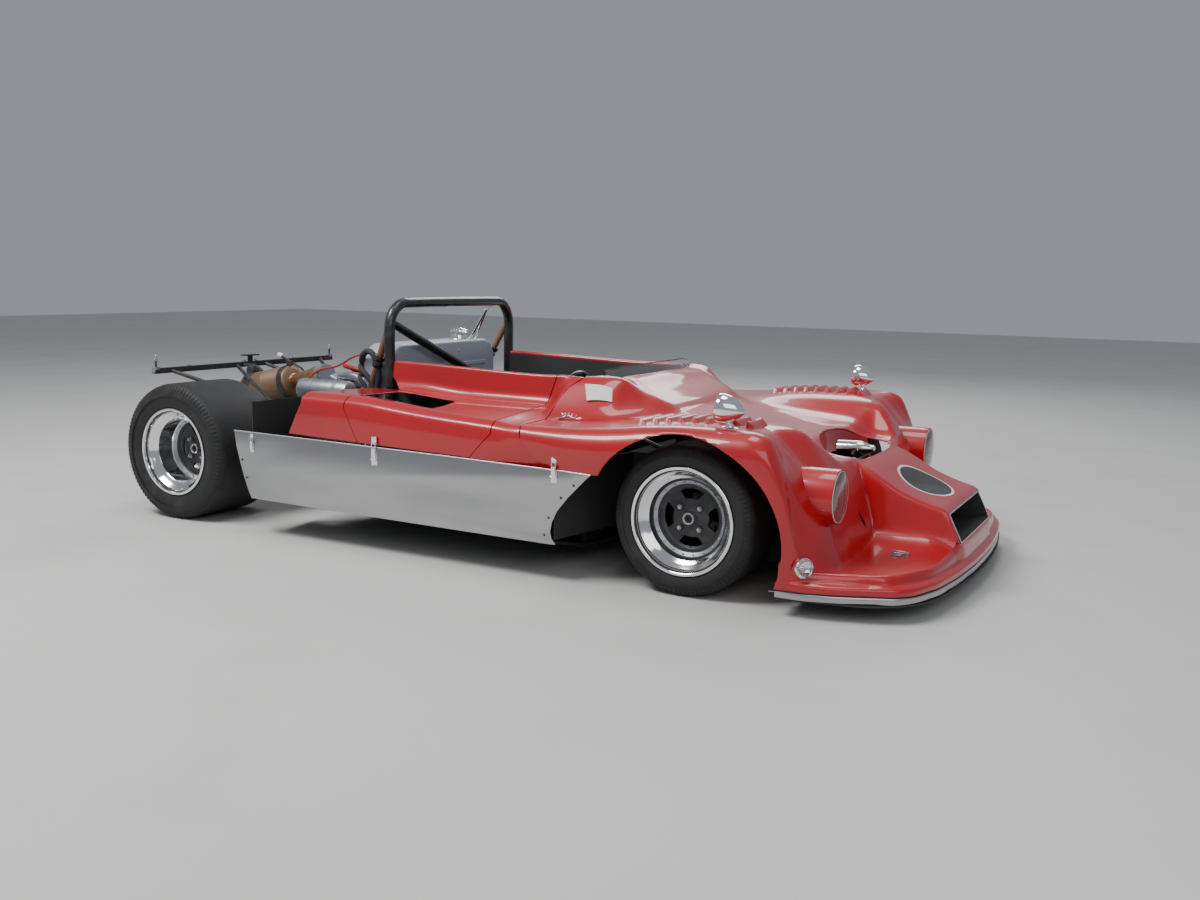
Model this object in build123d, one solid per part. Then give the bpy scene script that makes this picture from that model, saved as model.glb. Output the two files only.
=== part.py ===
from build123d import *
import os
from math import sqrt

# Open two-seat sports racing car of the early nineteen-seventies, rear body section off.
# Millimetres. +X points to the nose, +Y to the left, +Z up.
# The origin is on the ground, at the middle of the overall length.

# Main lengths, along X
wheelbase = 2311.0
front_overhang = 830.0
rear_overhang = 444.0
overall_length = front_overhang + wheelbase + rear_overhang
front_axle_x = overall_length / 2 - front_overhang
rear_axle_x = front_axle_x - wheelbase

# Wheels: tyre radius, tread width and the planes of both rim lips, from the centre line
front_tyre_radius = 254.0
front_tread_width = 254.0
front_outer_lip_y = 790.0
front_inner_lip_y = 522.0
rear_tyre_radius = 285.0
rear_tread_width = 344.0
rear_outer_lip_y = 828.0
rear_inner_lip_y = 484.0
bead_radius = 165.0
lip_height = 17.5
rim_wall = 6.0
lip_thickness = 8.0
front_face_y = 640.0
rear_face_y = 640.0
wheel_face_thickness = 22.0
front_ring_radius = 118.0
rear_ring_radius = 112.0
spoke_count = 4
spoke_width = 42.0
hub_flange_radius = 62.0
hub_cap_radius = 26.0
hub_cap_length = 24.0
bead_gap = 0.2
shoulder_radius = 26.0
sidewall_bulge = 9.0

# Running fits and gaps
running_clearance = 0.05
pin_face_gap = 0.5
moving_gap = 6.0
seat_gap = 0.3
seam_gap = 0.6

# Hubs, knuckles and brakes
stub_radius = 25.0
kingpin_y = 590.0
kingpin_radius = 10.0
ball_joint_rise = 105.0
upright_width = 84.0
upright_thickness = 32.0
steering_arm_length = 95.0
steering_arm_thickness = 14.0
steering_eye_pin = 8.0
steering_eye_play = 8.0
steering_eye_wall = 6.0
front_axle_z = front_tyre_radius
rear_axle_z = rear_tyre_radius

# Tub: floor, sides and bulkheads
undertray_bottom = 54.0
undertray_thickness = 6.0
floor_thickness = 15.0
floor_bottom = undertray_bottom + undertray_thickness
floor_top = floor_bottom + floor_thickness
tub_front_x = front_axle_x + 330.0
tub_step_x = front_axle_x - 420.0
tub_shoulder_x = front_axle_x - 480.0
tub_rear_x = front_axle_x - 1500.0
footwell_half_width = 240.0
footwell_wall = 12.0
footwell_height = 375.0
tub_inner_half_width = 405.0
tub_outer_half_width = 560.0
tub_side_height = 505.0
bulkhead_thickness = 12.0
tank_front_x = front_axle_x - 1512.0
tank_length = 150.0
tank_half_width = tub_inner_half_width - 20.0
tank_top = tub_side_height + 240.0
tank_shoulder_radius = 90.0
filler_y = 200.0
filler_radius = 34.0
filler_height = 40.0

# Body shell
body_wall = 6.0
fender_inner_y = 385.0
fender_outer_y = 876.0
fender_rear_z = tub_side_height + 27.0
fender_crest_z = fender_rear_z + 45.0
fender_foot_x = front_axle_x + 508.0
fender_brow_x = front_axle_x + 346.0
fender_brow_drop = 126.0
fender_outer_round = 74.0
fender_inner_round = 165.0
arch_radius = 345.0
arch_centre_x = front_axle_x + 18.0
arch_centre_z = 205.0
seam_front_x = front_axle_x - 574.0
seam_mid_x = front_axle_x - 701.0
seam_rear_x = front_axle_x - 1360.0
quarter_rear_top_x = front_axle_x - 1570.0
front_seam_slant = 70.0
mid_seam_slant = -92.0
rear_seam_slant = 64.0
quarter_slant = -66.0
pod_outer_top_y = 815.0
pod_shoulder_drop = 38.0
pod_outer_bottom_y = 852.0
pod_rear_z = tub_side_height + 74.0
pod_front_z = tub_side_height + 27.0
skirt_top_rear_z = 410.0
skirt_top_front_z = 390.0
cockpit_wall_y = tub_inner_half_width + 45.0
cockpit_wall_thickness = 30.0
cockpit_wall_top = tub_side_height + 178.0
cockpit_wall_rear_x = front_axle_x - 1440.0
cockpit_front_x = front_axle_x - 440.0
cockpit_front_bow = 70.0
cowl_top_z = tub_side_height + 173.0
cowl_front_x = front_axle_x - 60.0
cowl_foot_z = fender_rear_z - 6.0
# Cowl sections: distance behind the axle, how far the top's edge and the foot lie outside the
# cockpit wall, and the drop of the top below the highest place
cowl_sections = (
    (90.0, -260.0, -110.0, 168.0),
    (232.0, -190.0, -10.0, 126.0),
    (319.0, -120.0, 70.0, 73.0),
    (434.0, -50.0, 150.0, 3.0),
    (720.0, -22.0, 186.0, 0.0),
)
nose_half_width = 276.0
nose_top_front_x = front_axle_x + 738.0
nose_top_front_z = 278.0
nose_low_front_x = front_axle_x + 791.0
nose_low_front_z = 166.0
nose_top_rear_x = front_axle_x + 336.0
nose_top_rear_z = 436.0
# Places along the top of the nose between its ends: distance ahead of the axle and height
nose_top_places = ((682.0, 299.0), (625.0, 318.0), (577.0, 338.0), (534.0, 362.0), (490.0, 388.0),
                   (449.0, 407.0), (392.0, 425.0))
inlet_frame = 22.0
inlet_floor_z = 176.0
inlet_depth = 230.0
vent_front_x = front_axle_x + 423.0
vent_rear_x = front_axle_x + 249.0
vent_side_x = front_axle_x + 350.0
vent_half_width = 311.0
vent_depth = 120.0
deck_front_z = 139.0
deck_valley_z = 182.0
valley_foot_x = front_axle_x + 505.0
valley_top_x = front_axle_x + 390.0
valley_top_z = 424.0
lip_corner_y = 780.0
lip_back_x = front_axle_x + 342.0
lip_top_z = 110.0
ledge_setback = 40.0

duct_rear_x = front_axle_x - 1335.0
duct_front_x = front_axle_x - 1090.0
duct_inner_y = 540.0
duct_outer_y = 760.0
fringe = 4.0
headlamp_x = front_axle_x + 474.0
headlamp_y = 616.0
headlamp_z = 360.0
headlamp_radius = 89.0
headlamp_tube_length = 150.0
headlamp_bowl_depth = 60.0
side_lamp_x = front_axle_x + 430.0
side_lamp_y = 806.0
side_lamp_z = 165.0
side_lamp_radius = 31.0
mirror_x = front_axle_x + 140.0
mirror_y = 758.0
mirror_foot_z = tub_side_height + 55.0
mirror_z = mirror_foot_z + 80.0
mirror_radius = 48.0
mirror_length = 112.0
bottle_rear_x = front_axle_x + 262.0
bottle_y = 25.0
bottle_z = 412.0
bottle_radius = 28.0
bottle_length = 92.0
bottle_nose = 46.0
radiator_top = 340.0
wheelhouse_y = 432.0
wheelhouse_sheet = 4.0
wheelhouse_height = 410.0

# Cockpit
screen_thickness = 4.0
screen_height = 34.0
screen_rake = 0.45
screen_inset = 12.0
dash_x = front_axle_x - 600.0
dash_thickness = 14.0
dash_bottom_z = tub_side_height - 85.0
dash_top_z = tub_side_height + 95.0
seat_half_width = tub_inner_half_width / 2 - 17.5
seat_front_x = front_axle_x - 1010.0
seat_front_z = 210.0
seat_hip_x = front_axle_x - 1330.0
seat_hip_z = 130.0
seat_back_thickness = 40.0
seat_back_top = tub_side_height + 135.0

# Side skirts
skirt_thickness = 4.0
skirt_bottom_front_z = 136.0
skirt_bottom_rear_z = 146.0
skirt_top_front_x = front_axle_x - 312.0
skirt_bottom_front_x = front_axle_x - 457.0
skirt_top_rear_x = front_axle_x - 1940.0
skirt_bottom_rear_x = front_axle_x - 1847.0
side_tray_thickness = 6.0

# Roll hoop
hoop_tube_radius = 22.0
hoop_x = front_axle_x - 1471.0
hoop_half_width = tub_inner_half_width + 35.0
hoop_top_z = tub_side_height + 413.0
hoop_bend_radius = 105.0
brace_radius = 19.0
brace_high_z = hoop_top_z - 83.0
brace_low_y = tub_inner_half_width - 10.0
brace_low_z = tub_side_height - 5.0
stay_radius = 14.0
stay_high_z = hoop_top_z - 88.0
stay_low_x = front_axle_x - 1640.0
stay_low_z = tub_side_height

# Engine, gearbox and exhaust
engine_front_x = tank_front_x - tank_length
engine_length = 470.0
engine_rear_x = engine_front_x - engine_length
engine_half_width = 150.0
engine_bottom_z = 96.0
engine_deck_z = 400.0
engine_top_z = 500.0
cam_cover_top_z = 552.0
gearbox_half_width = 110.0
gearbox_bottom_z = 150.0
gearbox_top_z = 400.0
gearbox_tail_top_z = 365.0
gearbox_rear_x = rear_axle_x - 300.0
silencer_radius = 75.0
silencer_y = -60.0
silencer_front_x = rear_axle_x - 39.0
silencer_front_z = 527.0
silencer_length = 300.0
silencer_drop = 62.0
tail_radius = 30.0
primary_radius = 19.0
primary_spacing = 24.0
collector_radius = 34.0
collector_x = engine_rear_x + 31.0
collector_y = -170.0
collector_z = 575.0
crossmember_half = 300.0
damper_offset = 85.0
damper_top_y = 242.0
damper_low_y = 400.0
crossmember_height = 40.0
rear_low_z = 196.0
radius_rod_low = -60.0
radius_rod_high = 70.0
upright_lug = 105.0
canister_radius = 48.0
canister_length = 280.0
canister_x = rear_axle_x + 215.0
canister_y = -276.0
canister_z = 522.0
canister_foot_z = 360.0

# Rear body bearer
bearer_x = rear_axle_x - 383.0
bearer_half_length = 580.0
bearer_z = 586.0
bearer_tube = 24.0
bearer_pin_radius = 5.0
bearer_pin_height = 45.0
strut_radius = 9.0
bearer_strut_y = 90.0


def box(x0, x1, y0, y1, z0, z1):
    """Block between two corners."""
    size = (abs(x1 - x0), abs(y1 - y0), abs(z1 - z0))
    return Pos((x0 + x1) / 2, (y0 + y1) / 2, (z0 + z1) / 2) * Box(*size)


def rod(start, end, radius):
    """Round bar from one point to another."""
    a, b = Vector(*start), Vector(*end)
    plane = Plane(origin=a, z_dir=(b - a).normalized())
    return extrude(plane * Circle(radius), amount=(b - a).length)


def side_prism(points, y0, y1):
    """Prism whose outline is given as x, z pairs and runs from y0 to y1."""
    face = make_face(Polyline(*[(x, y0, z) for x, z in points], close=True))
    return extrude(face, amount=y1 - y0, dir=(0, 1, 0))


def plan_prism(points, z0, z1):
    """Prism whose outline is given as x, y pairs and runs from z0 to z1."""
    face = make_face(Polyline(*[(x, y, z0) for x, y in points], close=True))
    return extrude(face, amount=z1 - z0, dir=(0, 0, 1))


def mirrored(shape):
    """The same piece on the other side of the car."""
    return mirror(shape, about=Plane.XZ)


def pair(shape):
    """A piece with its twin from the other side, as two solids."""
    return Compound(children=[*shape.solids(), *mirrored(shape).solids()])


def group(*shapes):
    """Several solids that don't touch, as one group."""
    return Compound(children=[s for shape in shapes for s in shape.solids()])


def largest(shape):
    """The biggest solid of a shape that a cut has split."""
    return max(shape.solids(), key=lambda solid: solid.volume)


def interpolate(x, x0, v0, x1, v1):
    """Straight-line value at x between two known places."""
    return v0 + (v1 - v0) * (x - x0) / (x1 - x0)


# Wheels

def turned(points, x, z):
    """Ring turned about the wheel axle from y, radius pairs."""
    face = make_face(Polyline(*[(x, y, z + r) for y, r in points], close=True))
    return revolve(face, axis=Axis((x, 0, z), (0, 1, 0)))


def wheel_rim(x, z, outer_y, inner_y, face_y, ring_radius):
    """One-piece turned barrel with a spoked centre, for the left side."""
    lip_radius = bead_radius + lip_height
    inner_wall = bead_radius - rim_wall
    barrel = turned([
        (inner_y, lip_radius), (inner_y + lip_thickness, lip_radius),
        (inner_y + lip_thickness, bead_radius), (outer_y - lip_thickness, bead_radius),
        (outer_y - lip_thickness, lip_radius), (outer_y, lip_radius),
        (outer_y, inner_wall + rim_wall / 2), (outer_y - lip_thickness, inner_wall),
        (face_y + wheel_face_thickness + 60, inner_wall - 16),
        (face_y + wheel_face_thickness, ring_radius + 12),
        (face_y + wheel_face_thickness, ring_radius), (face_y, ring_radius),
        (face_y, inner_wall), (inner_y, inner_wall)], x, z)
    hub = rod((x, face_y, z), (x, face_y + wheel_face_thickness, z), hub_flange_radius)
    hub += rod((x, face_y, z), (x, face_y + wheel_face_thickness + hub_cap_length, z),
               hub_cap_radius + 8)
    for index in range(spoke_count):
        angle = 45 + 360 * index / spoke_count
        spoke = box(0, ring_radius + 3, face_y, face_y + wheel_face_thickness - 4,
                    -spoke_width / 2, spoke_width / 2)
        hub += Pos(x, 0, z) * Rot(0, angle, 0) * spoke
    return barrel + hub


def wheel_tyre(x, z, radius, tread, outer_y, inner_y):
    """Slick tyre seated between the rim lips."""
    middle = (outer_y + inner_y) / 2
    half = tread / 2
    bore = bead_radius + bead_gap
    lip_radius = bead_radius + lip_height + bead_gap
    seat_out = outer_y - lip_thickness - bead_gap
    seat_in = inner_y + lip_thickness + bead_gap
    wide = half + sidewall_bulge
    belly = (radius + lip_radius) / 2
    return turned([
        (seat_in, bore), (seat_out, bore), (seat_out, lip_radius),
        (middle + wide, belly), (middle + half, radius - shoulder_radius),
        (middle + half - shoulder_radius, radius), (middle - half + shoulder_radius, radius),
        (middle - half, radius - shoulder_radius), (middle - wide, belly),
        (seat_in, lip_radius)], x, z)


def front_wheel():
    """Left front rim with its bore, tyre and brake disc."""
    x, z = front_axle_x, front_axle_z
    bore = rod((x, 0, z), (x, front_outer_lip_y, z), stub_radius + running_clearance)
    rim = wheel_rim(x, z, front_outer_lip_y, front_inner_lip_y, front_face_y, front_ring_radius)
    tyre = wheel_tyre(x, z, front_tyre_radius, front_tread_width, front_outer_lip_y,
                      front_inner_lip_y)
    return rim - bore, tyre


def rear_wheel():
    """Left rear rim, its tyre, and the drive shaft that turns with it."""
    x, z = rear_axle_x, rear_axle_z
    rim = wheel_rim(x, z, rear_outer_lip_y, rear_inner_lip_y, rear_face_y, rear_ring_radius)
    tyre = wheel_tyre(x, z, rear_tyre_radius, rear_tread_width, rear_outer_lip_y,
                      rear_inner_lip_y)
    shaft_start = gearbox_half_width - 20
    shaft = rod((x, shaft_start, z), (x, rear_face_y + wheel_face_thickness, z), stub_radius)
    for joint_y in (gearbox_half_width + 45, rear_upright_y - 50):
        shaft += rod((x, joint_y - 22, z), (x, joint_y + 22, z), 42)
    rim -= rod((x, 0, z), (x, rear_face_y + wheel_face_thickness, z), stub_radius)
    return rim, tyre, shaft


# Front suspension and steering

rear_upright_y = 562.0
front_pivot_half_base = 130.0
wishbone_radius = 9.0
boss_radius = 20.0
front_damper_y = 515.0
boss_height = 20.0
knuckle_low_z = front_axle_z - ball_joint_rise + boss_height / 2 + pin_face_gap
knuckle_high_z = front_axle_z + ball_joint_rise - boss_height / 2 - pin_face_gap


def front_knuckle():
    """Left upright with kingpin bores, stub axle and steering arm."""
    x, z = front_axle_x, front_axle_z
    body = box(x - upright_width / 2, x + upright_width / 2, kingpin_y - upright_thickness / 2,
               kingpin_y + upright_thickness / 2, knuckle_low_z + 30, knuckle_high_z - 30)
    post = rod((x, kingpin_y, knuckle_low_z), (x, kingpin_y, knuckle_high_z), boss_radius + 4)
    face = front_face_y - seat_gap
    flange = rod((x, kingpin_y, z), (x, face, z), 46)
    stub = rod((x, kingpin_y, z), (x, front_face_y + wheel_face_thickness, z), stub_radius)
    arm_x = x + steering_arm_length
    arm = box(x, arm_x, kingpin_y - 15, kingpin_y + 15, z - 40, z - 40 + steering_arm_thickness)
    arm += rod((arm_x, kingpin_y, z - 40), (arm_x, kingpin_y, z - 40 + steering_arm_thickness), 15)
    pin_low = z - 40 - 26
    pin = rod((arm_x, kingpin_y, pin_low), (arm_x, kingpin_y, z - 40), steering_eye_pin)
    knuckle = body + post + flange + stub + arm + pin
    bore = kingpin_radius + running_clearance
    knuckle -= rod((x, kingpin_y, knuckle_low_z), (x, kingpin_y, knuckle_low_z + 30), bore)
    knuckle -= rod((x, kingpin_y, knuckle_high_z - 30), (x, kingpin_y, knuckle_high_z), bore)
    return knuckle


def front_wishbones():
    """Lower and upper left wishbones, each with the pin that its knuckle turns on."""
    x = front_axle_x
    arms = []
    for rise, pin_way in ((-ball_joint_rise, 1), (ball_joint_rise, -1)):
        z = front_axle_z + rise
        boss = rod((x, kingpin_y, z - boss_height / 2), (x, kingpin_y, z + boss_height / 2),
                   boss_radius)
        face = z + pin_way * boss_height / 2
        boss += rod((x, kingpin_y, face), (x, kingpin_y, face + pin_way * 28), kingpin_radius)
        for way in (-1, 1):
            inner = (x + way * front_pivot_half_base, footwell_half_width + 12, z)
            boss += rod(inner, (x, kingpin_y - 5, z), wishbone_radius)
            boss += rod((inner[0] - 16, inner[1], z), (inner[0] + 16, inner[1], z), 12)
        if rise < 0:
            boss += box(x - 34, x + 34, front_damper_y - 15, front_damper_y + 15, z - 4, z + 8)
        boss -= box(x - 200, x + 200, 0, footwell_half_width, z - 40, z + 40)
        arms.append(boss)
    return arms


def damper(low, high, body_radius, spring_radius):
    """Coil-over damper from a lower to an upper eye, ribbed like its spring."""
    a, b = Vector(*low), Vector(*high)
    way = (b - a).normalized()
    length = (b - a).length
    unit = rod(low, high, 9)
    unit += rod(tuple(a + way * 45), tuple(a + way * (length * 0.55)), body_radius)
    turns = 6
    start, stop = 60.0, length - 40.0
    for index in range(turns):
        place = start + (stop - start) * index / (turns - 1)
        unit += rod(tuple(a + way * (place - 6)), tuple(a + way * (place + 6)), spring_radius)
    unit += rod(tuple(a + way * 50), tuple(a + way * (length - 30)), spring_radius - 9)
    return unit


def front_damper():
    """Left front coil-over, from the lower wishbone's gusset to the footwell wall."""
    x = front_axle_x
    low_z = front_axle_z - ball_joint_rise
    high = (x, footwell_half_width + 12, footwell_height - 20)
    unit = damper((x, front_damper_y, low_z + 4), high, 17, 27)
    unit += rod((x - 16, high[1], high[2]), (x + 16, high[1], high[2]), 12)
    return unit - box(x - 40, x + 40, front_damper_y - 15, front_damper_y + 15, low_z - 4,
                      low_z + 8)


rack_z = front_axle_z - 40 - 26 + 12
rack_x = front_axle_x + steering_arm_length
rack_bar_radius = 10.0
rack_housing_radius = 20.0
rack_housing_half = 170.0
column_y = 12.5 - tub_inner_half_width / 2
wheel_centre_x = front_axle_x - 770.0
wheel_centre_z = tub_side_height + 20.0
column_radius = 9.0
column_front_x = front_axle_x - 200.0
column_front_z = 340.0
steering_wheel_radius = 140.0
steering_wheel_rim = 12.0


def steering_rack():
    """Rack bar with both track rods, and an open eye round each steering arm's pin."""
    bar = rod((rack_x, -kingpin_y, rack_z), (rack_x, kingpin_y, rack_z), rack_bar_radius)
    eye_bore = steering_eye_pin + steering_eye_play
    for side in (-1, 1):
        y = side * kingpin_y
        bar += rod((rack_x, y, rack_z - 8), (rack_x, y, rack_z + 8), eye_bore + steering_eye_wall)
        bar -= rod((rack_x, y, rack_z - 12), (rack_x, y, rack_z + 12), eye_bore)
    return bar


def rack_housing():
    """Tube that carries the rack, with its mounting feet on the tub floor."""
    body = rod((rack_x, -rack_housing_half, rack_z), (rack_x, rack_housing_half, rack_z),
               rack_housing_radius)
    for side in (-1, 1):
        y = side * (rack_housing_half - 30)
        body += box(rack_x - 15, rack_x + 15, y - 12, y + 12, floor_top, rack_z)
    bore = rack_bar_radius + running_clearance
    return body - rod((rack_x, -300, rack_z), (rack_x, 300, rack_z), bore)


def column_direction():
    """Unit vector from the steering wheel down the column."""
    return Vector(column_front_x - wheel_centre_x, 0, column_front_z - wheel_centre_z).normalized()


def steering_wheel():
    """Rim, three spokes and boss, with the column that turns with them."""
    way = column_direction()
    centre = Vector(wheel_centre_x, column_y, wheel_centre_z)
    plane = Plane(origin=centre, x_dir=(0, 1, 0), z_dir=way)
    rim = plane * Torus(steering_wheel_radius, steering_wheel_rim)
    hub = plane * extrude(Circle(32), amount=18)
    for angle in (90, 210, 330):
        spoke = Rot(0, 0, angle) * Pos(steering_wheel_radius / 2, 0, 3) * Box(
            steering_wheel_radius - 4, 24, 5)
        hub += plane * spoke
    shaft_end = Vector(column_front_x, column_y, column_front_z)
    return rim + hub + rod(tuple(centre), tuple(shaft_end), column_radius)


# Tub

def tub_plan():
    """Plan outline of the floor."""
    step, wide, narrow = tub_step_x, tub_outer_half_width, footwell_half_width
    return [(tub_front_x, narrow), (step, narrow), (tub_shoulder_x, wide),
            (engine_front_x, wide), (engine_front_x, -wide), (tub_shoulder_x, -wide),
            (step, -narrow), (tub_front_x, -narrow)]


def tub_sides():
    """Box section along each side of the cockpit."""
    side = box(tub_rear_x, tub_shoulder_x, tub_inner_half_width, tub_outer_half_width,
               floor_top, tub_side_height)
    return pair(side)


def footwell():
    """Side walls of the footwell and its front bulkhead, with holes for the track rods."""
    wall = box(tub_shoulder_x, tub_front_x, footwell_half_width - footwell_wall,
               footwell_half_width, floor_top, footwell_height)
    shell = wall + mirrored(wall)
    shell += box(tub_front_x - bulkhead_thickness, tub_front_x,
                 footwell_wall - footwell_half_width, footwell_half_width - footwell_wall,
                 floor_top, footwell_height)
    hole = rod((rack_x, -300, rack_z), (rack_x, 300, rack_z), rack_bar_radius + moving_gap)
    return shell - hole


def dash_bulkhead():
    """Bulkhead between footwell and cockpit, with the opening for the legs and the column."""
    plate = box(tub_shoulder_x - bulkhead_thickness, tub_shoulder_x, -tub_outer_half_width,
                tub_outer_half_width, floor_top, tub_side_height)
    plate -= box(tub_shoulder_x - bulkhead_thickness, tub_shoulder_x,
                 footwell_wall - footwell_half_width, footwell_half_width - footwell_wall,
                 floor_top, footwell_height)
    plate = plate - box(tub_shoulder_x - 30, tub_shoulder_x, tub_inner_half_width,
                        tub_outer_half_width, floor_top, tub_side_height)
    plate = plate - box(tub_shoulder_x - 30, tub_shoulder_x, -tub_outer_half_width,
                        -tub_inner_half_width, floor_top, tub_side_height)
    way = column_direction()
    start = Vector(wheel_centre_x, column_y, wheel_centre_z)
    hole = rod(tuple(start), tuple(start + way * 700), column_radius + moving_gap)
    return plate - hole


def column_bearing():
    """Bearing block on the footwell wall that the column turns in."""
    way = column_direction()
    end = Vector(column_front_x, column_y, column_front_z)
    start = end - way * 40
    block = rod(tuple(start), tuple(end), 20)
    block += box(column_front_x - 40, column_front_x, -footwell_half_width + footwell_wall,
                 column_y, column_front_z - 16, column_front_z + 12)
    return block - rod(tuple(start - way * 60), tuple(end + way * 60),
                       column_radius + running_clearance)


def fuel_tank():
    """Painted tank and seat-back bulkhead, with one rounded shoulder each side."""
    rear = engine_front_x
    block = box(rear, tank_front_x, -tank_half_width, tank_half_width, floor_top, tank_top)
    edges = [e for e in block.edges().filter_by(Axis.X) if e.center().Z > tank_top - 1]
    block = fillet(edges, tank_shoulder_radius)
    top_edges = block.faces().sort_by(Axis.Z)[-1].edges().filter_by(Axis.Y)
    return fillet(top_edges, 14)


def filler_cap():
    """Filler neck and cap on the tank."""
    x = tank_front_x - tank_length / 2
    neck = rod((x, filler_y, tank_top), (x, filler_y, tank_top + filler_height * 0.55),
               filler_radius - 6)
    cap = rod((x, filler_y, tank_top + filler_height * 0.55),
              (x, filler_y, tank_top + filler_height), filler_radius)
    return neck + cap


# Body shell

def fender_solid(inset):
    """Left front fender as a full volume, drawn in from its outer face by inset."""
    rear_x = seam_front_x - 120
    crest = fender_crest_z - inset
    rear_z = fender_rear_z - inset
    brow = (fender_brow_x - inset * 0.7, 0, fender_crest_z - fender_brow_drop - inset * 0.7)
    foot = (fender_foot_x - inset, 0, deck_front_z)
    low = floor_bottom - 60
    outline = [
        Line((rear_x, 0, low), (rear_x, 0, rear_z)),
        Line((rear_x, 0, rear_z), (front_axle_x - 340, 0, rear_z + 10)),
        ThreePointArc((front_axle_x - 340, 0, rear_z + 10), (front_axle_x - 90, 0, crest - 8),
                      (front_axle_x + 150, 0, crest)),
        ThreePointArc((front_axle_x + 150, 0, crest),
                      ((front_axle_x + 150 + brow[0]) / 2 + 12, 0, (crest + brow[2]) / 2 + 32), brow),
        ThreePointArc(brow, ((brow[0] + foot[0]) / 2 + 11, 0, (brow[2] + foot[2]) / 2 + 8), foot),
        Line(foot, (foot[0], 0, low)),
        Line((foot[0], 0, low), (rear_x, 0, low)),
    ]
    face = make_face(outline)
    width = fender_outer_y - fender_inner_y - 2 * inset
    block = Pos(0, fender_inner_y + inset, 0) * extrude(face, amount=width, dir=(0, 1, 0))
    rounds = ((fender_outer_y - inset, fender_outer_round - inset),
              (fender_inner_y + inset, fender_inner_round - inset))
    for side_y, radius in rounds:
        tops = [e for e in block.edges() if e.center().Z > deck_front_z + 20
                and abs(e.bounding_box().size.Y) < 0.1 and e.bounding_box().size.X > 60
                and abs(e.center().Y - side_y) < 1]
        block = fillet(tops, radius)
    return block & fender_plan(inset)


def fender_plan(inset):
    """Plan volume that rounds the front outer corner of the fender."""
    z0, height = floor_bottom - 80, 900
    flank = fender_outer_y - inset
    foot = fender_foot_x - inset + 2
    rear_x = seam_front_x - 200
    edges = [
        Line((rear_x, flank, z0), (front_axle_x + 190, flank, z0)),
        ThreePointArc((front_axle_x + 190, flank, z0), (front_axle_x + 335, 848 - inset, z0),
                      (front_axle_x + 418 - inset * 0.6, 798 - inset * 0.8, z0)),
        ThreePointArc((front_axle_x + 418 - inset * 0.6, 798 - inset * 0.8, z0),
                      (front_axle_x + 478 - inset * 0.8, 724 - inset * 0.6, z0),
                      (foot, 620, z0)),
        Line((foot, 620, z0), (foot, 0, z0)),
        Line((foot, 0, z0), (rear_x, 0, z0)),
        Line((rear_x, 0, z0), (rear_x, flank, z0)),
    ]
    return extrude(make_face(edges), amount=height, dir=(0, 0, 1))


def lip_outline(setback, z):
    """Plan face of the nose lip: a flat bow, round corners and straight flanks."""
    nose = overall_length / 2 - setback
    bow_x, bow_y = nose - 41, 515 - setback * 0.6
    corner_x, corner_y = front_axle_x + 560 - setback * 0.5, lip_corner_y - setback
    side_y = lip_corner_y + 44 - setback
    mid_x, mid_y = front_axle_x + 706 - setback * 0.8, 699 - setback * 0.8
    edges = [
        ThreePointArc((bow_x, -bow_y, z), (nose, 0, z), (bow_x, bow_y, z)),
        ThreePointArc((bow_x, bow_y, z), (mid_x, mid_y, z), (corner_x, corner_y, z)),
        Line((corner_x, corner_y, z), (lip_back_x, side_y, z)),
        Line((lip_back_x, side_y, z), (lip_back_x, -side_y, z)),
        Line((lip_back_x, -side_y, z), (corner_x, -corner_y, z)),
        ThreePointArc((corner_x, -corner_y, z), (mid_x, -mid_y, z), (bow_x, -bow_y, z)),
    ]
    return make_face(edges)


def body_plan(inset):
    """Plan volume that rounds off the fender feet and the nose."""
    nose = overall_length / 2 - 43 - inset
    z0, height = floor_bottom - 80, 900
    flank = fender_outer_y + 4 - inset
    bow = (front_axle_x + 752 - inset, 500)
    corner = (front_axle_x + 600 - inset * 0.7, 728 - inset * 0.7)
    foot = (front_axle_x + 400 - inset * 0.6, 812 - inset)
    edges = [ThreePointArc((bow[0], -bow[1], z0), (nose, 0, z0), (bow[0], bow[1], z0))]
    for side in (-1, 1):
        edges.append(ThreePointArc(
            (bow[0], side * bow[1], z0),
            (front_axle_x + 700 - inset * 0.8, side * (632 - inset * 0.6), z0),
            (corner[0], side * corner[1], z0)))
        edges.append(ThreePointArc(
            (corner[0], side * corner[1], z0),
            (front_axle_x + 505 - inset * 0.7, side * (759 - inset * 0.8), z0),
            (foot[0], side * foot[1], z0)))
        edges.append(ThreePointArc(
            (foot[0], side * foot[1], z0),
            (front_axle_x + 310, side * (862 - inset), z0),
            (front_axle_x + 180, side * flank, z0)))
        edges.append(Line((front_axle_x + 180, side * flank, z0),
                          (seam_front_x - 200, side * flank, z0)))
    edges.append(Line((seam_front_x - 200, -flank, z0), (seam_front_x - 200, flank, z0)))
    return extrude(make_face(edges), amount=height, dir=(0, 0, 1))


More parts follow.
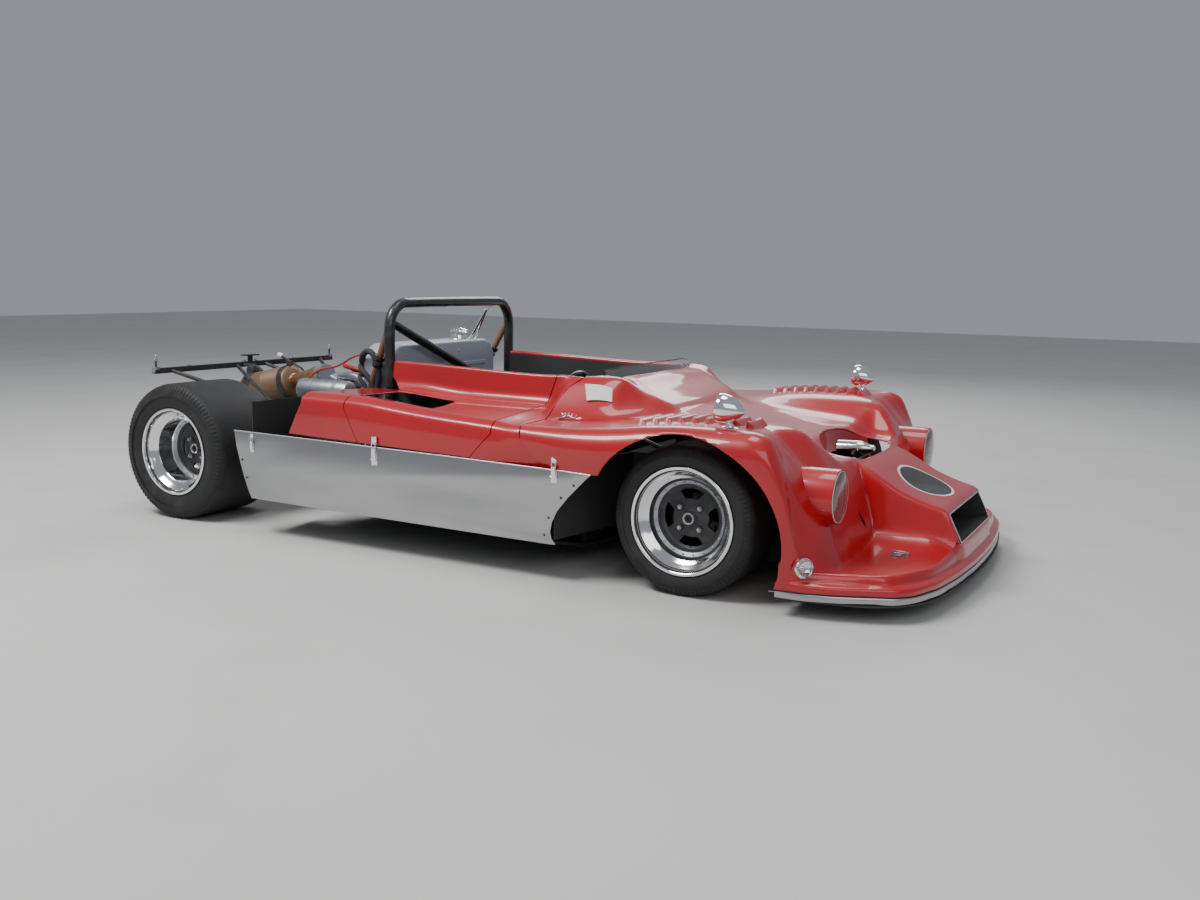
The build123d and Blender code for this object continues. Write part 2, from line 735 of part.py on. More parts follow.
def centre_solid(inset):
    """Nose wedge, valley deck and cowl as one full volume, drawn in by inset."""
    low = floor_bottom - 60
    slope = inset * 0.9
    top = [(front_axle_x + x, z - inset) for x, z in nose_top_places]
    wedge = side_prism([
        (nose_low_front_x - inset, low), (nose_low_front_x - inset, nose_low_front_z - inset),
        (nose_top_front_x - inset, nose_top_front_z - slope), *top,
        (nose_top_rear_x, nose_top_rear_z - inset), (front_axle_x + 120, nose_top_rear_z - inset),
        (front_axle_x + 120, low)], inset - nose_half_width, nose_half_width - inset)
    deck_half = fender_inner_y + fender_inner_round
    deck = side_prism([
        (front_axle_x + 790 - inset, low), (front_axle_x + 790 - inset, deck_front_z - inset),
        (valley_foot_x + 60, deck_front_z + 6 - inset), (valley_foot_x, deck_valley_z - inset),
        (valley_top_x - inset, valley_top_z - inset), (nose_top_rear_x, nose_top_rear_z - inset),
        (front_axle_x + 250, 452 - inset), (front_axle_x + 60, 493 - inset),
        (cowl_front_x, 507 - inset), (front_axle_x - 300, fender_rear_z - 2 - inset),
        (seam_front_x - 120, fender_rear_z - 2 - inset), (seam_front_x - 120, low)],
        -deck_half, deck_half)
    return wedge + deck + cowl_solid(inset)


def cowl_solid(inset):
    """Rise from the channel between the fenders to the rim of the cockpit."""
    faces = []
    for behind, top_out, foot_out, drop in cowl_sections:
        x = front_axle_x - behind
        top_z = cowl_top_z - drop - inset
        foot_z = min(cowl_foot_z, top_z + inset - 6) - inset
        edge_y = cockpit_wall_y + top_out - inset * 0.5
        foot_y = cockpit_wall_y + foot_out - inset
        knee_z = top_z - (top_z - foot_z) * 0.12
        half = [(foot_y, foot_z - 40), (foot_y, foot_z), (edge_y + 26, knee_z), (edge_y - 30, top_z)]
        ring = half + [(-y, z) for y, z in reversed(half)]
        faces.append(make_face(Polyline(*[(x, y, z) for y, z in ring], close=True)))
    return loft(faces, ruled=True)


def ahead_of_seam(top_x, slant):
    """Everything ahead of a seam: upright above the side panel, leaning by slant below it."""
    drop = pod_front_z - skirt_top_front_z
    low_z = skirt_top_front_z - 60
    low_x = top_x + slant * (pod_front_z - low_z) / drop
    far_x = top_x + 3000
    return side_prism([(top_x, 900), (far_x, 900), (far_x, -200), (low_x, -200), (low_x, low_z),
                       (top_x, pod_front_z)], -1000, 1000)


def cockpit_opening(z0, z1):
    """Upright volume of the cockpit opening, its front edge bowed forwards."""
    half = cockpit_wall_y - cockpit_wall_thickness
    side_x = cockpit_front_x - cockpit_front_bow
    rear_x = cockpit_wall_rear_x - 400
    edges = [
        ThreePointArc((side_x, -half, z0), (cockpit_front_x, 0, z0), (side_x, half, z0)),
        Line((side_x, half, z0), (rear_x, half, z0)),
        Line((rear_x, half, z0), (rear_x, -half, z0)),
        Line((rear_x, -half, z0), (side_x, -half, z0)),
    ]
    return extrude(make_face(edges), amount=z1 - z0, dir=(0, 0, 1))


def front_body():
    """Nose, both front fenders, lamp tubes and the cowl: one moulded shell open below."""
    outer = centre_solid(0) + fender_solid(0) + mirrored(fender_solid(0))
    outer = outer & body_plan(0)
    inner = centre_solid(body_wall) + fender_solid(body_wall) + mirrored(fender_solid(body_wall))
    inner = inner & body_plan(body_wall)
    tube_end = headlamp_x
    for side in (-1, 1):
        outer += rod((headlamp_x - headlamp_tube_length, side * headlamp_y, headlamp_z),
                     (tube_end, side * headlamp_y, headlamp_z), headlamp_radius)
    shell = outer - inner
    for side in (-1, 1):
        shell -= rod((headlamp_x - headlamp_bowl_depth, side * headlamp_y, headlamp_z),
                     (headlamp_x + 5, side * headlamp_y, headlamp_z),
                     headlamp_radius - body_wall)
    lip = extrude(lip_outline(fringe, floor_bottom), amount=lip_top_z - floor_bottom,
                  dir=(0, 0, 1))
    ledge = extrude(lip_outline(ledge_setback, lip_top_z), amount=deck_front_z - lip_top_z,
                    dir=(0, 0, 1))
    shell += (lip + ledge) - inner
    for side in (-1, 1):
        shell -= rod((arch_centre_x, side * (fender_outer_y - 130), arch_centre_z),
                     (arch_centre_x, side * (fender_outer_y + 20), arch_centre_z), arch_radius)
    shell -= box(seam_front_x - 300, front_axle_x + 160, -fender_outer_y - 30,
                 fender_outer_y + 30, -50, 180)
    shell -= box(seam_front_x - 300, overall_length, -1000, 1000, -100, floor_bottom)
    shell -= side_prism([(seam_front_x - 300, -50), (front_axle_x - 200, -50),
                         (front_axle_x - 200, skirt_top_front_z - 8),
                         (seam_front_x - 300, skirt_top_front_z + 4)], -1000, 1000)
    shell -= nose_inlet()
    shell -= vent_opening()
    shell -= cockpit_opening(300, 900)
    return shell & ahead_of_seam(seam_front_x + seam_gap, front_seam_slant)


def nose_inlet():
    """Mouth of the nose duct, inside a thin frame."""
    half = nose_half_width - inlet_frame
    lean = nose_top_front_z - nose_low_front_z
    return side_prism([
        (nose_low_front_x + 40, inlet_floor_z), (nose_low_front_x + 40, nose_top_front_z - 18),
        (nose_top_front_x - inlet_depth, nose_top_front_z - 18 + lean * 0.25),
        (nose_top_front_x - inlet_depth, inlet_floor_z)], -half, half)


def vent_opening():
    """Opening behind the nose where the duct air leaves: straight in front, bowed behind."""
    z0 = nose_top_rear_z - vent_depth
    half = vent_half_width
    edges = [
        Line((vent_front_x, 30 - half, z0), (vent_front_x, half - 30, z0)),
        ThreePointArc((vent_front_x, half - 30, z0), (vent_front_x - 28, half - 4, z0),
                      (vent_side_x, half, z0)),
        ThreePointArc((vent_side_x, half, z0), (vent_rear_x, 0, z0), (vent_side_x, -half, z0)),
        ThreePointArc((vent_side_x, -half, z0), (vent_front_x - 28, 4 - half, z0),
                      (vent_front_x, 30 - half, z0)),
    ]
    return extrude(make_face(edges), amount=vent_depth + 60, dir=(0, 0, 1))


def side_panel_section(x):
    """Closed section of the left side panel: cockpit wall, pod top and flank."""
    top = interpolate(x, seam_mid_x, pod_front_z, seam_rear_x, pod_rear_z)
    low = interpolate(x, skirt_top_front_x, skirt_top_front_z, skirt_top_rear_x,
                      skirt_top_rear_z) - 12
    inner_y = cockpit_wall_y - cockpit_wall_thickness
    points = [
        (inner_y, cockpit_wall_top), (cockpit_wall_y, cockpit_wall_top),
        (cockpit_wall_y + 4, top), (pod_outer_top_y, top),
        (pod_outer_bottom_y, top - pod_shoulder_drop), (pod_outer_bottom_y, low),
        (pod_outer_bottom_y - body_wall, low),
        (pod_outer_bottom_y - body_wall, top - pod_shoulder_drop - 2),
        (pod_outer_top_y - 2, top - body_wall),
        (cockpit_wall_y, top - body_wall), (cockpit_wall_y, tub_side_height),
        (inner_y, tub_side_height)]
    return make_face(Polyline(*[(x, y, z) for y, z in points], close=True))


def side_panel():
    """Left side of the body from the front seam to the slanted rear edge."""
    rear_x = quarter_rear_top_x + quarter_slant - 20
    panel = loft([side_panel_section(rear_x), side_panel_section(seam_front_x + 120)], ruled=True)
    clear_y = hoop_half_width + hoop_tube_radius + moving_gap
    return panel - box(rear_x - 50, cockpit_wall_rear_x, 0, clear_y, 0, 900)


def joint_strip():
    """Narrow body panel between the front body and the pod."""
    piece = side_panel() & ahead_of_seam(seam_mid_x + seam_gap, mid_seam_slant)
    return piece - ahead_of_seam(seam_front_x, front_seam_slant)


def side_pod():
    """Panel over the left pod with its cockpit wall and the duct opening in its top."""
    piece = side_panel() & ahead_of_seam(seam_rear_x + seam_gap, rear_seam_slant)
    piece -= ahead_of_seam(seam_mid_x, mid_seam_slant)
    duct = plan_prism([(duct_rear_x, duct_inner_y), (duct_rear_x, duct_outer_y),
                       (duct_front_x + 90, duct_outer_y + 30), (duct_front_x, duct_inner_y)],
                      tub_side_height - 40, 900)
    return piece - duct


def rear_quarter():
    """Short panel behind the pod with its slanted rear edge."""
    piece = side_panel() - ahead_of_seam(seam_rear_x, rear_seam_slant)
    return piece & ahead_of_seam(quarter_rear_top_x, quarter_slant)


def side_skirt():
    """Bare sheet along the left flank, its front edge in a long S."""
    inner = pod_outer_bottom_y + seat_gap
    top_f = (skirt_top_front_x, inner, skirt_top_front_z)
    low_f = (skirt_bottom_front_x, inner, skirt_bottom_front_z)
    mid = ((top_f[0] + low_f[0]) / 2, inner, (top_f[2] + low_f[2]) / 2)
    edges = [
        Line((skirt_top_rear_x, inner, skirt_top_rear_z), top_f),
        ThreePointArc(top_f, ((top_f[0] + mid[0]) / 2 - 14, inner, (top_f[2] + mid[2]) / 2), mid),
        ThreePointArc(mid, ((low_f[0] + mid[0]) / 2 + 14, inner, (low_f[2] + mid[2]) / 2 + 6),
                      low_f),
        Line(low_f, (skirt_bottom_rear_x, inner, skirt_bottom_rear_z)),
        Line((skirt_bottom_rear_x, inner, skirt_bottom_rear_z),
             (skirt_top_rear_x, inner, skirt_top_rear_z)),
    ]
    return extrude(make_face(edges), amount=skirt_thickness, dir=(0, 1, 0))


def tub_floor():
    """Flat floor pan with an upswept tray along each flank."""
    pan = plan_prism(tub_plan(), floor_bottom, floor_top)
    edge_y = pod_outer_bottom_y + seat_gap
    front_z, rear_z = skirt_bottom_front_z + 4, skirt_bottom_rear_z + 4
    sections = []
    for x, z in ((skirt_bottom_rear_x + 20, rear_z), (tub_shoulder_x, front_z)):
        points = [(tub_outer_half_width, floor_bottom), (edge_y, z),
                  (edge_y, z + side_tray_thickness), (tub_outer_half_width, floor_top)]
        sections.append(make_face(Polyline(*[(x, y, h) for y, h in points], close=True)))
    tray = loft(sections, ruled=True)
    return pan + tray + mirrored(tray)


def undertray():
    """Flat sheet below the nose, its edge showing all round the lip."""
    sheet = extrude(lip_outline(0, undertray_bottom), amount=undertray_thickness, dir=(0, 0, 1))
    tongue = box(tub_front_x - 60, lip_back_x + 10, -footwell_half_width, footwell_half_width,
                 undertray_bottom, floor_bottom)
    return sheet + tongue


def front_wheelhouse():
    """Left inner wheelhouse: shelf, inner wall with the suspension window, and rear wall."""
    y = wheelhouse_y
    sheet = wheelhouse_sheet
    front_x, rear_x = tub_front_x - 20, tub_step_x + 60
    shelf = box(rear_x, front_x, footwell_half_width, y + sheet, floor_top, floor_top + sheet)
    wall = side_prism([(rear_x, floor_top), (front_x, floor_top), (front_x, 300),
                       (front_axle_x + 180, wheelhouse_height), (rear_x, wheelhouse_height)],
                      y, y + sheet)
    wall -= box(front_axle_x - 150, front_axle_x + 150, y - 5, y + sheet + 5, 100, 392)
    back = plan_prism([(rear_x, y), (skirt_bottom_front_x + 12, pod_outer_bottom_y - 4),
                       (skirt_bottom_front_x + 12 + sheet, pod_outer_bottom_y - 4),
                       (rear_x + sheet * 1.2, y)], skirt_bottom_front_z + 14, wheelhouse_height)
    return shelf + wall + back


def inner_panel():
    """Black closing panel between the left rear quarter and the rear tyre."""
    x = skirt_bottom_rear_x + 20
    panel = box(x, x + 4, tub_outer_half_width + 20, pod_outer_bottom_y + seat_gap,
                skirt_bottom_rear_z + 14, 530)
    panel += box(x, quarter_rear_top_x - 60, tub_outer_half_width + 20,
                 tub_outer_half_width + 24, skirt_bottom_rear_z + 14, 530)
    return panel - tub_floor()


# Cockpit

def windscreen():
    """Low bowed screen along the front edge of the cockpit."""
    half = cockpit_wall_y - cockpit_wall_thickness - 60
    root = 60
    base = cowl_top_z - root
    x = cockpit_front_x + screen_inset + screen_rake * root
    drop = cockpit_front_bow * 0.75
    face = make_face([
        ThreePointArc((x - drop, -half, base), (x, 0, base), (x - drop, half, base)),
        Line((x - drop, half, base), (x - drop - screen_thickness, half, base)),
        ThreePointArc((x - drop - screen_thickness, half, base),
                      (x - screen_thickness, 0, base),
                      (x - drop - screen_thickness, -half, base)),
        Line((x - drop - screen_thickness, -half, base), (x - drop, -half, base)),
    ])
    lean = sqrt(1 + screen_rake ** 2)
    return extrude(face, amount=(screen_height + root) * lean, dir=(-screen_rake, 0, 1))


def dashboard():
    """Panel across the front of the cockpit with its instrument holes."""
    half = tub_inner_half_width - seat_gap
    plate = box(dash_x, dash_x + dash_thickness, -half, half, dash_bottom_z, dash_top_z)
    for y, radius in ((column_y, 48), (column_y - 95, 30), (column_y + 95, 30),
                      (column_y + 175, 30)):
        plate -= rod((dash_x - 2, y, dash_top_z - 62), (dash_x + 8, y, dash_top_z - 62), radius)
    way = column_direction()
    start = Vector(wheel_centre_x, column_y, wheel_centre_z)
    return plate - rod(tuple(start), tuple(start + way * 600), column_radius + moving_gap)


def seat():
    """Bucket seat: cushion, reclined back and side bolsters."""
    y0, y1 = column_y - seat_half_width, column_y + seat_half_width
    back_x = tank_front_x + seat_gap
    shell = side_prism([
        (back_x, floor_top), (seat_front_x, floor_top), (seat_front_x, seat_front_z),
        (seat_hip_x, seat_hip_z), (back_x + seat_back_thickness, seat_back_top),
        (back_x, seat_back_top)], y0, y1)
    hollow = side_prism([
        (seat_front_x + 20, seat_front_z - 20), (seat_front_x + 20, 900),
        (back_x + seat_back_thickness + 30, 900),
        (back_x + seat_back_thickness - 10, seat_back_top - 60),
        (seat_hip_x - 25, seat_hip_z - 35)], y0 + 45, y1 - 45)
    return shell - hollow


def roll_hoop():
    """Main hoop with its diagonal brace and two rear stays."""
    foot = tub_side_height
    path = FilletPolyline((hoop_x, -hoop_half_width, foot), (hoop_x, -hoop_half_width, hoop_top_z),
                          (hoop_x, hoop_half_width, hoop_top_z), (hoop_x, hoop_half_width, foot),
                          radius=hoop_bend_radius)
    section = Plane(origin=(hoop_x, -hoop_half_width, foot), z_dir=(0, 0, 1))
    hoop = sweep(section * Circle(hoop_tube_radius), path=path)
    hoop += rod((hoop_x, -hoop_half_width, brace_high_z), (hoop_x, brace_low_y + 20,
                brace_low_z - 8), brace_radius)
    for side in (-1, 1):
        hoop += rod((hoop_x, side * hoop_half_width, stay_high_z),
                    (stay_low_x, side * (tank_half_width + 4), stay_low_z), stay_radius)
    side_box = box(tub_rear_x, tub_shoulder_x, tub_inner_half_width, tub_outer_half_width,
                   floor_top, tub_side_height)
    hoop -= side_box + mirrored(side_box)
    return hoop - fuel_tank()


# Engine, gearbox and exhaust

def engine_block():
    """Crankcase with its ribs, and the sump, bolted between the tank and the gearbox."""
    y = engine_half_width
    block = box(engine_rear_x, engine_front_x, -y + 20, y - 20, engine_bottom_z + 110,
                engine_deck_z)
    sump = side_prism([(engine_rear_x + 30, engine_bottom_z), (engine_front_x - 30,
                       engine_bottom_z), (engine_front_x, engine_bottom_z + 110),
                       (engine_rear_x, engine_bottom_z + 110)], -y + 45, y - 45)
    block += sump
    for index in range(5):
        x = engine_front_x - 20 - index * (engine_length - 40) / 4
        block += box(x - 8, x + 8, -y, y, engine_bottom_z + 130, engine_deck_z - 60)
    return block


def cylinder_head():
    """Head with two cam covers and a row of plug caps between them."""
    x0, x1 = engine_rear_x + 12, engine_front_x - 12
    y = engine_half_width - 28
    head = box(x0, x1, -y, y, engine_deck_z, engine_top_z)
    for side in (-1, 1):
        cover = box(x0 + 8, x1 - 8, side * y, side * 22, engine_top_z, cam_cover_top_z)
        edges = [e for e in cover.edges().filter_by(Axis.X) if e.center().Z > cam_cover_top_z - 1]
        head += fillet(edges, 24)
    for index in range(4):
        x = x1 - 60 - index * (x1 - x0 - 120) / 3
        head += rod((x, 0, engine_top_z), (x, 0, engine_top_z + 26), 11)
    return head


def intake_trumpets():
    """Four throttle bodies with flared trumpets on the left of the head."""
    x0, x1 = engine_rear_x + 12, engine_front_x - 12
    y = engine_half_width - 28
    parts = []
    for index in range(4):
        x = x1 - 60 - index * (x1 - x0 - 120) / 3
        way = Vector(0, 0.86, 0.51)
        start = Vector(x, y, engine_deck_z + 55)
        body = rod(tuple(start - way * 30), tuple(start + way * 105), 27)
        plane = Plane(origin=start + way * 105, z_dir=way)
        flare = plane * (Pos(0, 0, 22) * Cone(27, 42, 44))
        bore = rod(tuple(start + way * 30), tuple(start + way * 160), 21)
        piece = body + flare - bore
        piece -= box(x - 60, x + 60, -50, y, engine_deck_z - 50, 700)
        parts.append(piece)
    return parts


def exhaust_headers():
    """Four primaries from the right of the head into a collector, and the pipe to the silencer."""
    x0, x1 = engine_rear_x + 12, engine_front_x - 12
    y = -(engine_half_width - 28)
    port_z = engine_deck_z + 50
    join = Vector(collector_x, collector_y, collector_z)
    system = None
    for index in range(4):
        x = x1 - 60 - index * (x1 - x0 - 120) / 3
        rise = port_z + 16 + (3 - index) * primary_spacing
        path = FilletPolyline((x, y, port_z), (x, y - 62, port_z + 8),
                              (x - 75, y - 66, rise), tuple(join), radius=30)
        section = Plane(origin=(x, y, port_z), z_dir=(0, -62, 8))
        piece = sweep(section * Circle(primary_radius), path=path)
        system = piece if system is None else system + piece
    front = silencer_axis(0)
    system += rod(tuple(join + Vector(30, 0, -2)), tuple(join + Vector(-50, 4, 2)),
                  collector_radius)
    system += rod(tuple(join + Vector(-30, 3, 1)), tuple(front), collector_radius - 6)
    return system - silencer() - cylinder_head()


def silencer_axis(distance):
    """Point on the silencer's axis, measured back from its front face."""
    way = Vector(-silencer_length, 0, -silencer_drop).normalized()
    return Vector(silencer_front_x, silencer_y, silencer_front_z) + way * distance


def silencer():
    """Round silencer that slopes down to the rear, with its tail pipe."""
    front, back = silencer_axis(0), silencer_axis(silencer_length)
    can = rod(tuple(front), tuple(back), silencer_radius)
    can = fillet(can.edges(), 10)
    way = (back - front).normalized()
    tail_length = (back.X + overall_length / 2 + 4) / abs(way.X)
    tail = rod(tuple(back - way * 20), tuple(back + way * tail_length), tail_radius)
    tail -= rod(tuple(back + way * 5), tuple(back + way * (tail_length + 20)), tail_radius - 3)
    for distance in (26, silencer_length - 60):
        band = silencer_axis(distance)
        can += rod(tuple(band), tuple(band + way * 26), silencer_radius + 3)
    unit = can + tail
    return unit - box(-overall_length, -overall_length / 2, -500, 500, 0, 900)


def gearbox():
    """Bell housing, gearbox, final drive and the crossmember on top."""
    rear = gearbox_rear_x
    bell_x = engine_rear_x - 150
    y = gearbox_half_width
    case = plan_prism([(engine_rear_x, engine_half_width - 20), (bell_x, y - 20), (rear, y - 35),
                       (rear, 35 - y), (bell_x, 20 - y),
                       (engine_rear_x, 20 - engine_half_width)], gearbox_bottom_z,
                      gearbox_top_z)
    case -= box(rear - 10, rear_axle_x - 50, -200, 200, gearbox_tail_top_z, 600)
    case += rod((rear_axle_x, -y, rear_axle_z), (rear_axle_x, y, rear_axle_z), 95)
    for side in (-1, 1):
        case += box(rear_axle_x - damper_offset - 16, rear_axle_x, side * (damper_top_y - 16),
                    side * (damper_top_y + 16), gearbox_top_z, gearbox_top_z
                    + crossmember_height)
    case += box(rear_axle_x - 30, rear_axle_x + 30, -crossmember_half, crossmember_half,
                gearbox_top_z, gearbox_top_z + crossmember_height)
    for x in (rear_axle_x - 150, rear_axle_x + 150):
        case += box(x - 14, x + 14, -y - 34, y + 34, rear_low_z - 26, rear_low_z + 26)
    case += box(rear_axle_x - 150, rear_axle_x + 150, -y + 30, y - 30, rear_low_z - 26,
                rear_low_z + 26)
    bore = stub_radius + running_clearance
    for side in (-1, 1):
        case -= rod((rear_axle_x, side * (y - 20 - moving_gap), rear_axle_z),
                    (rear_axle_x, side * (y + 5), rear_axle_z), bore)
    return case


def rear_upright():
    """Left rear upright with its bearing bore."""
    x, z = rear_axle_x, rear_axle_z
    y0, y1 = rear_upright_y - upright_thickness / 2, rear_upright_y + upright_thickness / 2
    body = box(x - upright_width / 2, x + upright_width / 2, y0, y1, z - 112, z + 112)
    body += rod((x, y0, z), (x, rear_face_y - moving_gap, z), 48)
    for height in (z + radius_rod_low, z + radius_rod_high):
        body += rod((x, y0 - 1 - upright_lug, height), (x, y0 + 4, height), 13)
    return body - rod((x, y0 - 5, z), (x, rear_face_y, z), stub_radius + running_clearance)


def rear_links():
    """Left lower wishbone, upper link and two radius rods."""
    x, z = rear_axle_x, rear_axle_z
    y0 = rear_upright_y - upright_thickness / 2
    face_y = gearbox_half_width + 34
    lower = rod((x - 150, face_y, rear_low_z), (x, y0, rear_low_z), 12)
    lower += rod((x + 150, face_y, rear_low_z), (x, y0, rear_low_z), 12)
    upper = rod((x, crossmember_half, gearbox_top_z + crossmember_height / 2),
                (x, y0, z + 96), 11)
    rods = []
    for height in (z + radius_rod_low, z + radius_rod_high):
        rods.append(rod((x + 4, y0 - upright_lug + 10, height),
                        (engine_front_x, tank_half_width - 30, height), 11))
    pieces = [lower, upper, *rods]
    upright = rear_upright()
    return [p - upright - gearbox() - fuel_tank() for p in pieces]


def rear_damper():
    """Left rear coil-over, from the lower wishbone to the crossmember."""
    reach = 150 * (rear_upright_y - upright_thickness / 2 - damper_low_y)
    low_x = rear_axle_x - reach / (rear_upright_y - upright_thickness / 2
                                   - gearbox_half_width - 34)
    unit = damper((low_x, damper_low_y, rear_low_z + 8),
                  (rear_axle_x - damper_offset, damper_top_y, gearbox_top_z), 18, 28)
    return unit - rear_links()[0] - gearbox()


def rear_bearer():
    """Transverse bar that the rear body sits on, with its pins, bracket and struts."""
    x, half, side = bearer_x, bearer_half_length, bearer_tube / 2
    bar = box(x - side, x + side, -half, half, bearer_z - side, bearer_z + side)
    for way in (-1, 1):
        y = way * (half - 12)
        bar += rod((x, y, bearer_z), (x, y, bearer_z + bearer_pin_height), bearer_pin_radius)
        for top_y, low_y in ((bearer_strut_y, crossmember_half - 60),
                             (half - 90, crossmember_half - 22)):
            bar += rod((x, way * top_y, bearer_z), (rear_axle_x - 10, way * low_y,
                       gearbox_top_z + crossmember_height), strut_radius)
    bar += box(x - 3, x + 3, -14, 14, bearer_z, bearer_z + 44)
    bar += box(x - 20, x + 20, -42, 42, bearer_z + 40, bearer_z + 46)
    low_block = box(rear_axle_x - 200, rear_axle_x + 200, -400, 400, 0,
                    gearbox_top_z + crossmember_height)
    return bar - low_block - silencer()


def canister():
    """Round bare-metal canister beside the head, on its bracket."""
    start = (canister_x, canister_y, canister_z)
    end = (canister_x + canister_length, canister_y, canister_z - 14)
    body = rod(start, end, canister_radius)
    body = fillet(body.edges(), 8)
    x = canister_x + canister_length * 0.6
    bracket = box(x, x + 30, canister_y - 10, canister_y + 40, canister_foot_z, canister_z - 20)
    bracket += box(x, x + 30, canister_y - 10, 20 - engine_half_width, canister_foot_z,
                   canister_foot_z + 20)
    return body + bracket - engine_block()


# Small pieces at the front

def radiator():
    """Radiator core that closes the nose duct."""
    half = nose_half_width - inlet_frame - 6
    front = nose_top_front_x - inlet_depth
    return side_prism([(front, floor_bottom), (front + 50, floor_bottom),
                       (front + 50, radiator_top), (front, radiator_top)], -half, half)


def nose_bottle():
    """Bare metal bottle lying lengthways in the vent opening, on its saddle."""
    x0, x1 = bottle_rear_x, bottle_rear_x + bottle_length
    body = rod((x0, bottle_y, bottle_z), (x1, bottle_y, bottle_z), bottle_radius)
    body += Pos(x1 + bottle_nose / 2, bottle_y, bottle_z) * Rot(0, 90, 0) * Cone(
        bottle_radius, bottle_radius * 0.45, bottle_nose)
    saddle = box(tub_front_x - bulkhead_thickness, tub_front_x, bottle_y - 15, bottle_y + 15,
                 footwell_height, bottle_z)
    return body + saddle


def mirror_pod():
    """Left bullet mirror on its stalk."""
    x, y, z = mirror_x, mirror_y, mirror_z
    shell = Pos(x, y, z) * Rot(0, 90, 0) * Cone(mirror_radius, 14, mirror_length)
    stalk = rod((x - 10, y, z - mirror_radius - 26), (x - 10, y, z - mirror_radius + 14), 7)
    foot = box(x - 40, x + 20, y - 14, y + 14, mirror_foot_z, z - mirror_radius - 20)
    return shell + stalk + foot


def lamps():
    """Left headlamp lens and side lamp."""
    lens_radius = headlamp_radius - body_wall - seat_gap
    lens = rod((headlamp_x - 7, headlamp_y, headlamp_z), (headlamp_x - 1, headlamp_y,
               headlamp_z), lens_radius)
    side = rod((side_lamp_x - 6, side_lamp_y, side_lamp_z),
               (side_lamp_x + 12, side_lamp_y + 8, side_lamp_z), side_lamp_radius)
    return lens, side


front_left, tyre_front_left = front_wheel()
rear_left, tyre_rear_left, shaft_left = rear_wheel()
shell = front_body()
lens_left, side_lamp_left = lamps()

nodes = {
    "undertray": undertray(),
    "tub_floor": tub_floor(),
    "tub_sides": tub_sides(),
    "footwell": footwell() + dash_bulkhead() + column_bearing(),
    "fuel_tank": fuel_tank(),
    "filler_cap": filler_cap(),
    "front_body": shell,
    "joint_strips": pair(joint_strip()),
    "side_pods": pair(side_pod()),
    "rear_quarters": pair(rear_quarter()),
    "side_skirts": pair(side_skirt()),
    "front_wheelhouses": pair(front_wheelhouse() - shell),
    "inner_panels": pair(inner_panel()),
    "windscreen": max((windscreen() - shell).solids(), key=lambda solid: solid.center().Z),
    "dashboard": dashboard(),
    "seat": seat(),
    "roll_hoop": roll_hoop(),
    "engine_block": engine_block(),
    "cylinder_head": cylinder_head(),
    "intake_trumpets": group(*intake_trumpets()),
    "exhaust_headers": exhaust_headers(),
    "silencer": silencer(),
    "gearbox": gearbox(),
    "rear_uprights": pair(rear_upright()),
    "rear_links": pair(group(*rear_links())),
    "rear_dampers": pair(rear_damper()),
    "rear_bearer": rear_bearer(),
    "canister": canister(),
    "radiator": largest(radiator() - shell),
    "nose_bottle": nose_bottle() - shell,
    "mirrors": pair(largest(mirror_pod() - shell)),
    "lamps": pair(group(lens_left, largest(side_lamp_left - shell))),
    "rack_housing": rack_housing(),
    "front_wishbones": pair(group(*front_wishbones())),
    "front_dampers": pair(front_damper()),
    "steering_rack": steering_rack(),
    "steering_wheel": steering_wheel(),
    "knuckle_front_left": front_knuckle(),
    "knuckle_front_right": mirrored(front_knuckle()),
    "rim_front_left": front_left,
    "rim_front_right": mirrored(front_left),
    "tyre_front_left": tyre_front_left,
    "tyre_front_right": mirrored(tyre_front_left),
    "rim_rear_left": rear_left,
    "rim_rear_right": mirrored(rear_left),
    "tyre_rear_left": tyre_rear_left,
    "tyre_rear_right": mirrored(tyre_rear_left),
    "drive_shaft_left": shaft_left,
    "drive_shaft_right": mirrored(shaft_left),
}

os.makedirs("parts", exist_ok=True)
for name, shape in nodes.items():
    export_step(shape, f"parts/{name}.step")
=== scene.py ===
"""Dressed scene of an open sports racing car that stands with its rear bodywork off.

Sizes are millimetres from the front axle line on the ground: x forward, y to the car's left, z up.
"""
import logging
import math
from collections.abc import Iterable, Sequence
from dataclasses import dataclass, field
from enum import Enum

import bpy
import numpy as np
from mathutils import Matrix, Vector


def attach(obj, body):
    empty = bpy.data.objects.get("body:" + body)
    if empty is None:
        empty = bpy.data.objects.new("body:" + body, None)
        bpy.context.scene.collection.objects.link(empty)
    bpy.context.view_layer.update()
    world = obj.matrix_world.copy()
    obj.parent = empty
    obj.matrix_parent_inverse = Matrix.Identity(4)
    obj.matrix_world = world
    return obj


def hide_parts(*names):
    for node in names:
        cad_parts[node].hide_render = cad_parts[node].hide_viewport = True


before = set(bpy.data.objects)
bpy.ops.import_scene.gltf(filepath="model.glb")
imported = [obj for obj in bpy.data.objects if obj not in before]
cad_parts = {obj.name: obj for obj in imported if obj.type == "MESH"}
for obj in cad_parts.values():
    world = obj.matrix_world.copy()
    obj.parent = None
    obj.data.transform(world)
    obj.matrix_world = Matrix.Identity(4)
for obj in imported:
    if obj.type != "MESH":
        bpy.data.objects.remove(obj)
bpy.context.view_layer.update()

log = logging.getLogger("car")
FRONT_AXLE_X = 962.5
MM = 0.001
UP = (0, 0, 1)
AHEAD = (1, 0, 0)
LEFT = (0, 1, 0)
# Places of the engine's four ports along x, from the front.
PORTS = (-1714, -1822, -1930, -2038)
Array = np.ndarray
Piece = bpy.types.Object
Point = tuple[float, float, float]
Pairs = Sequence[tuple[float, float]]


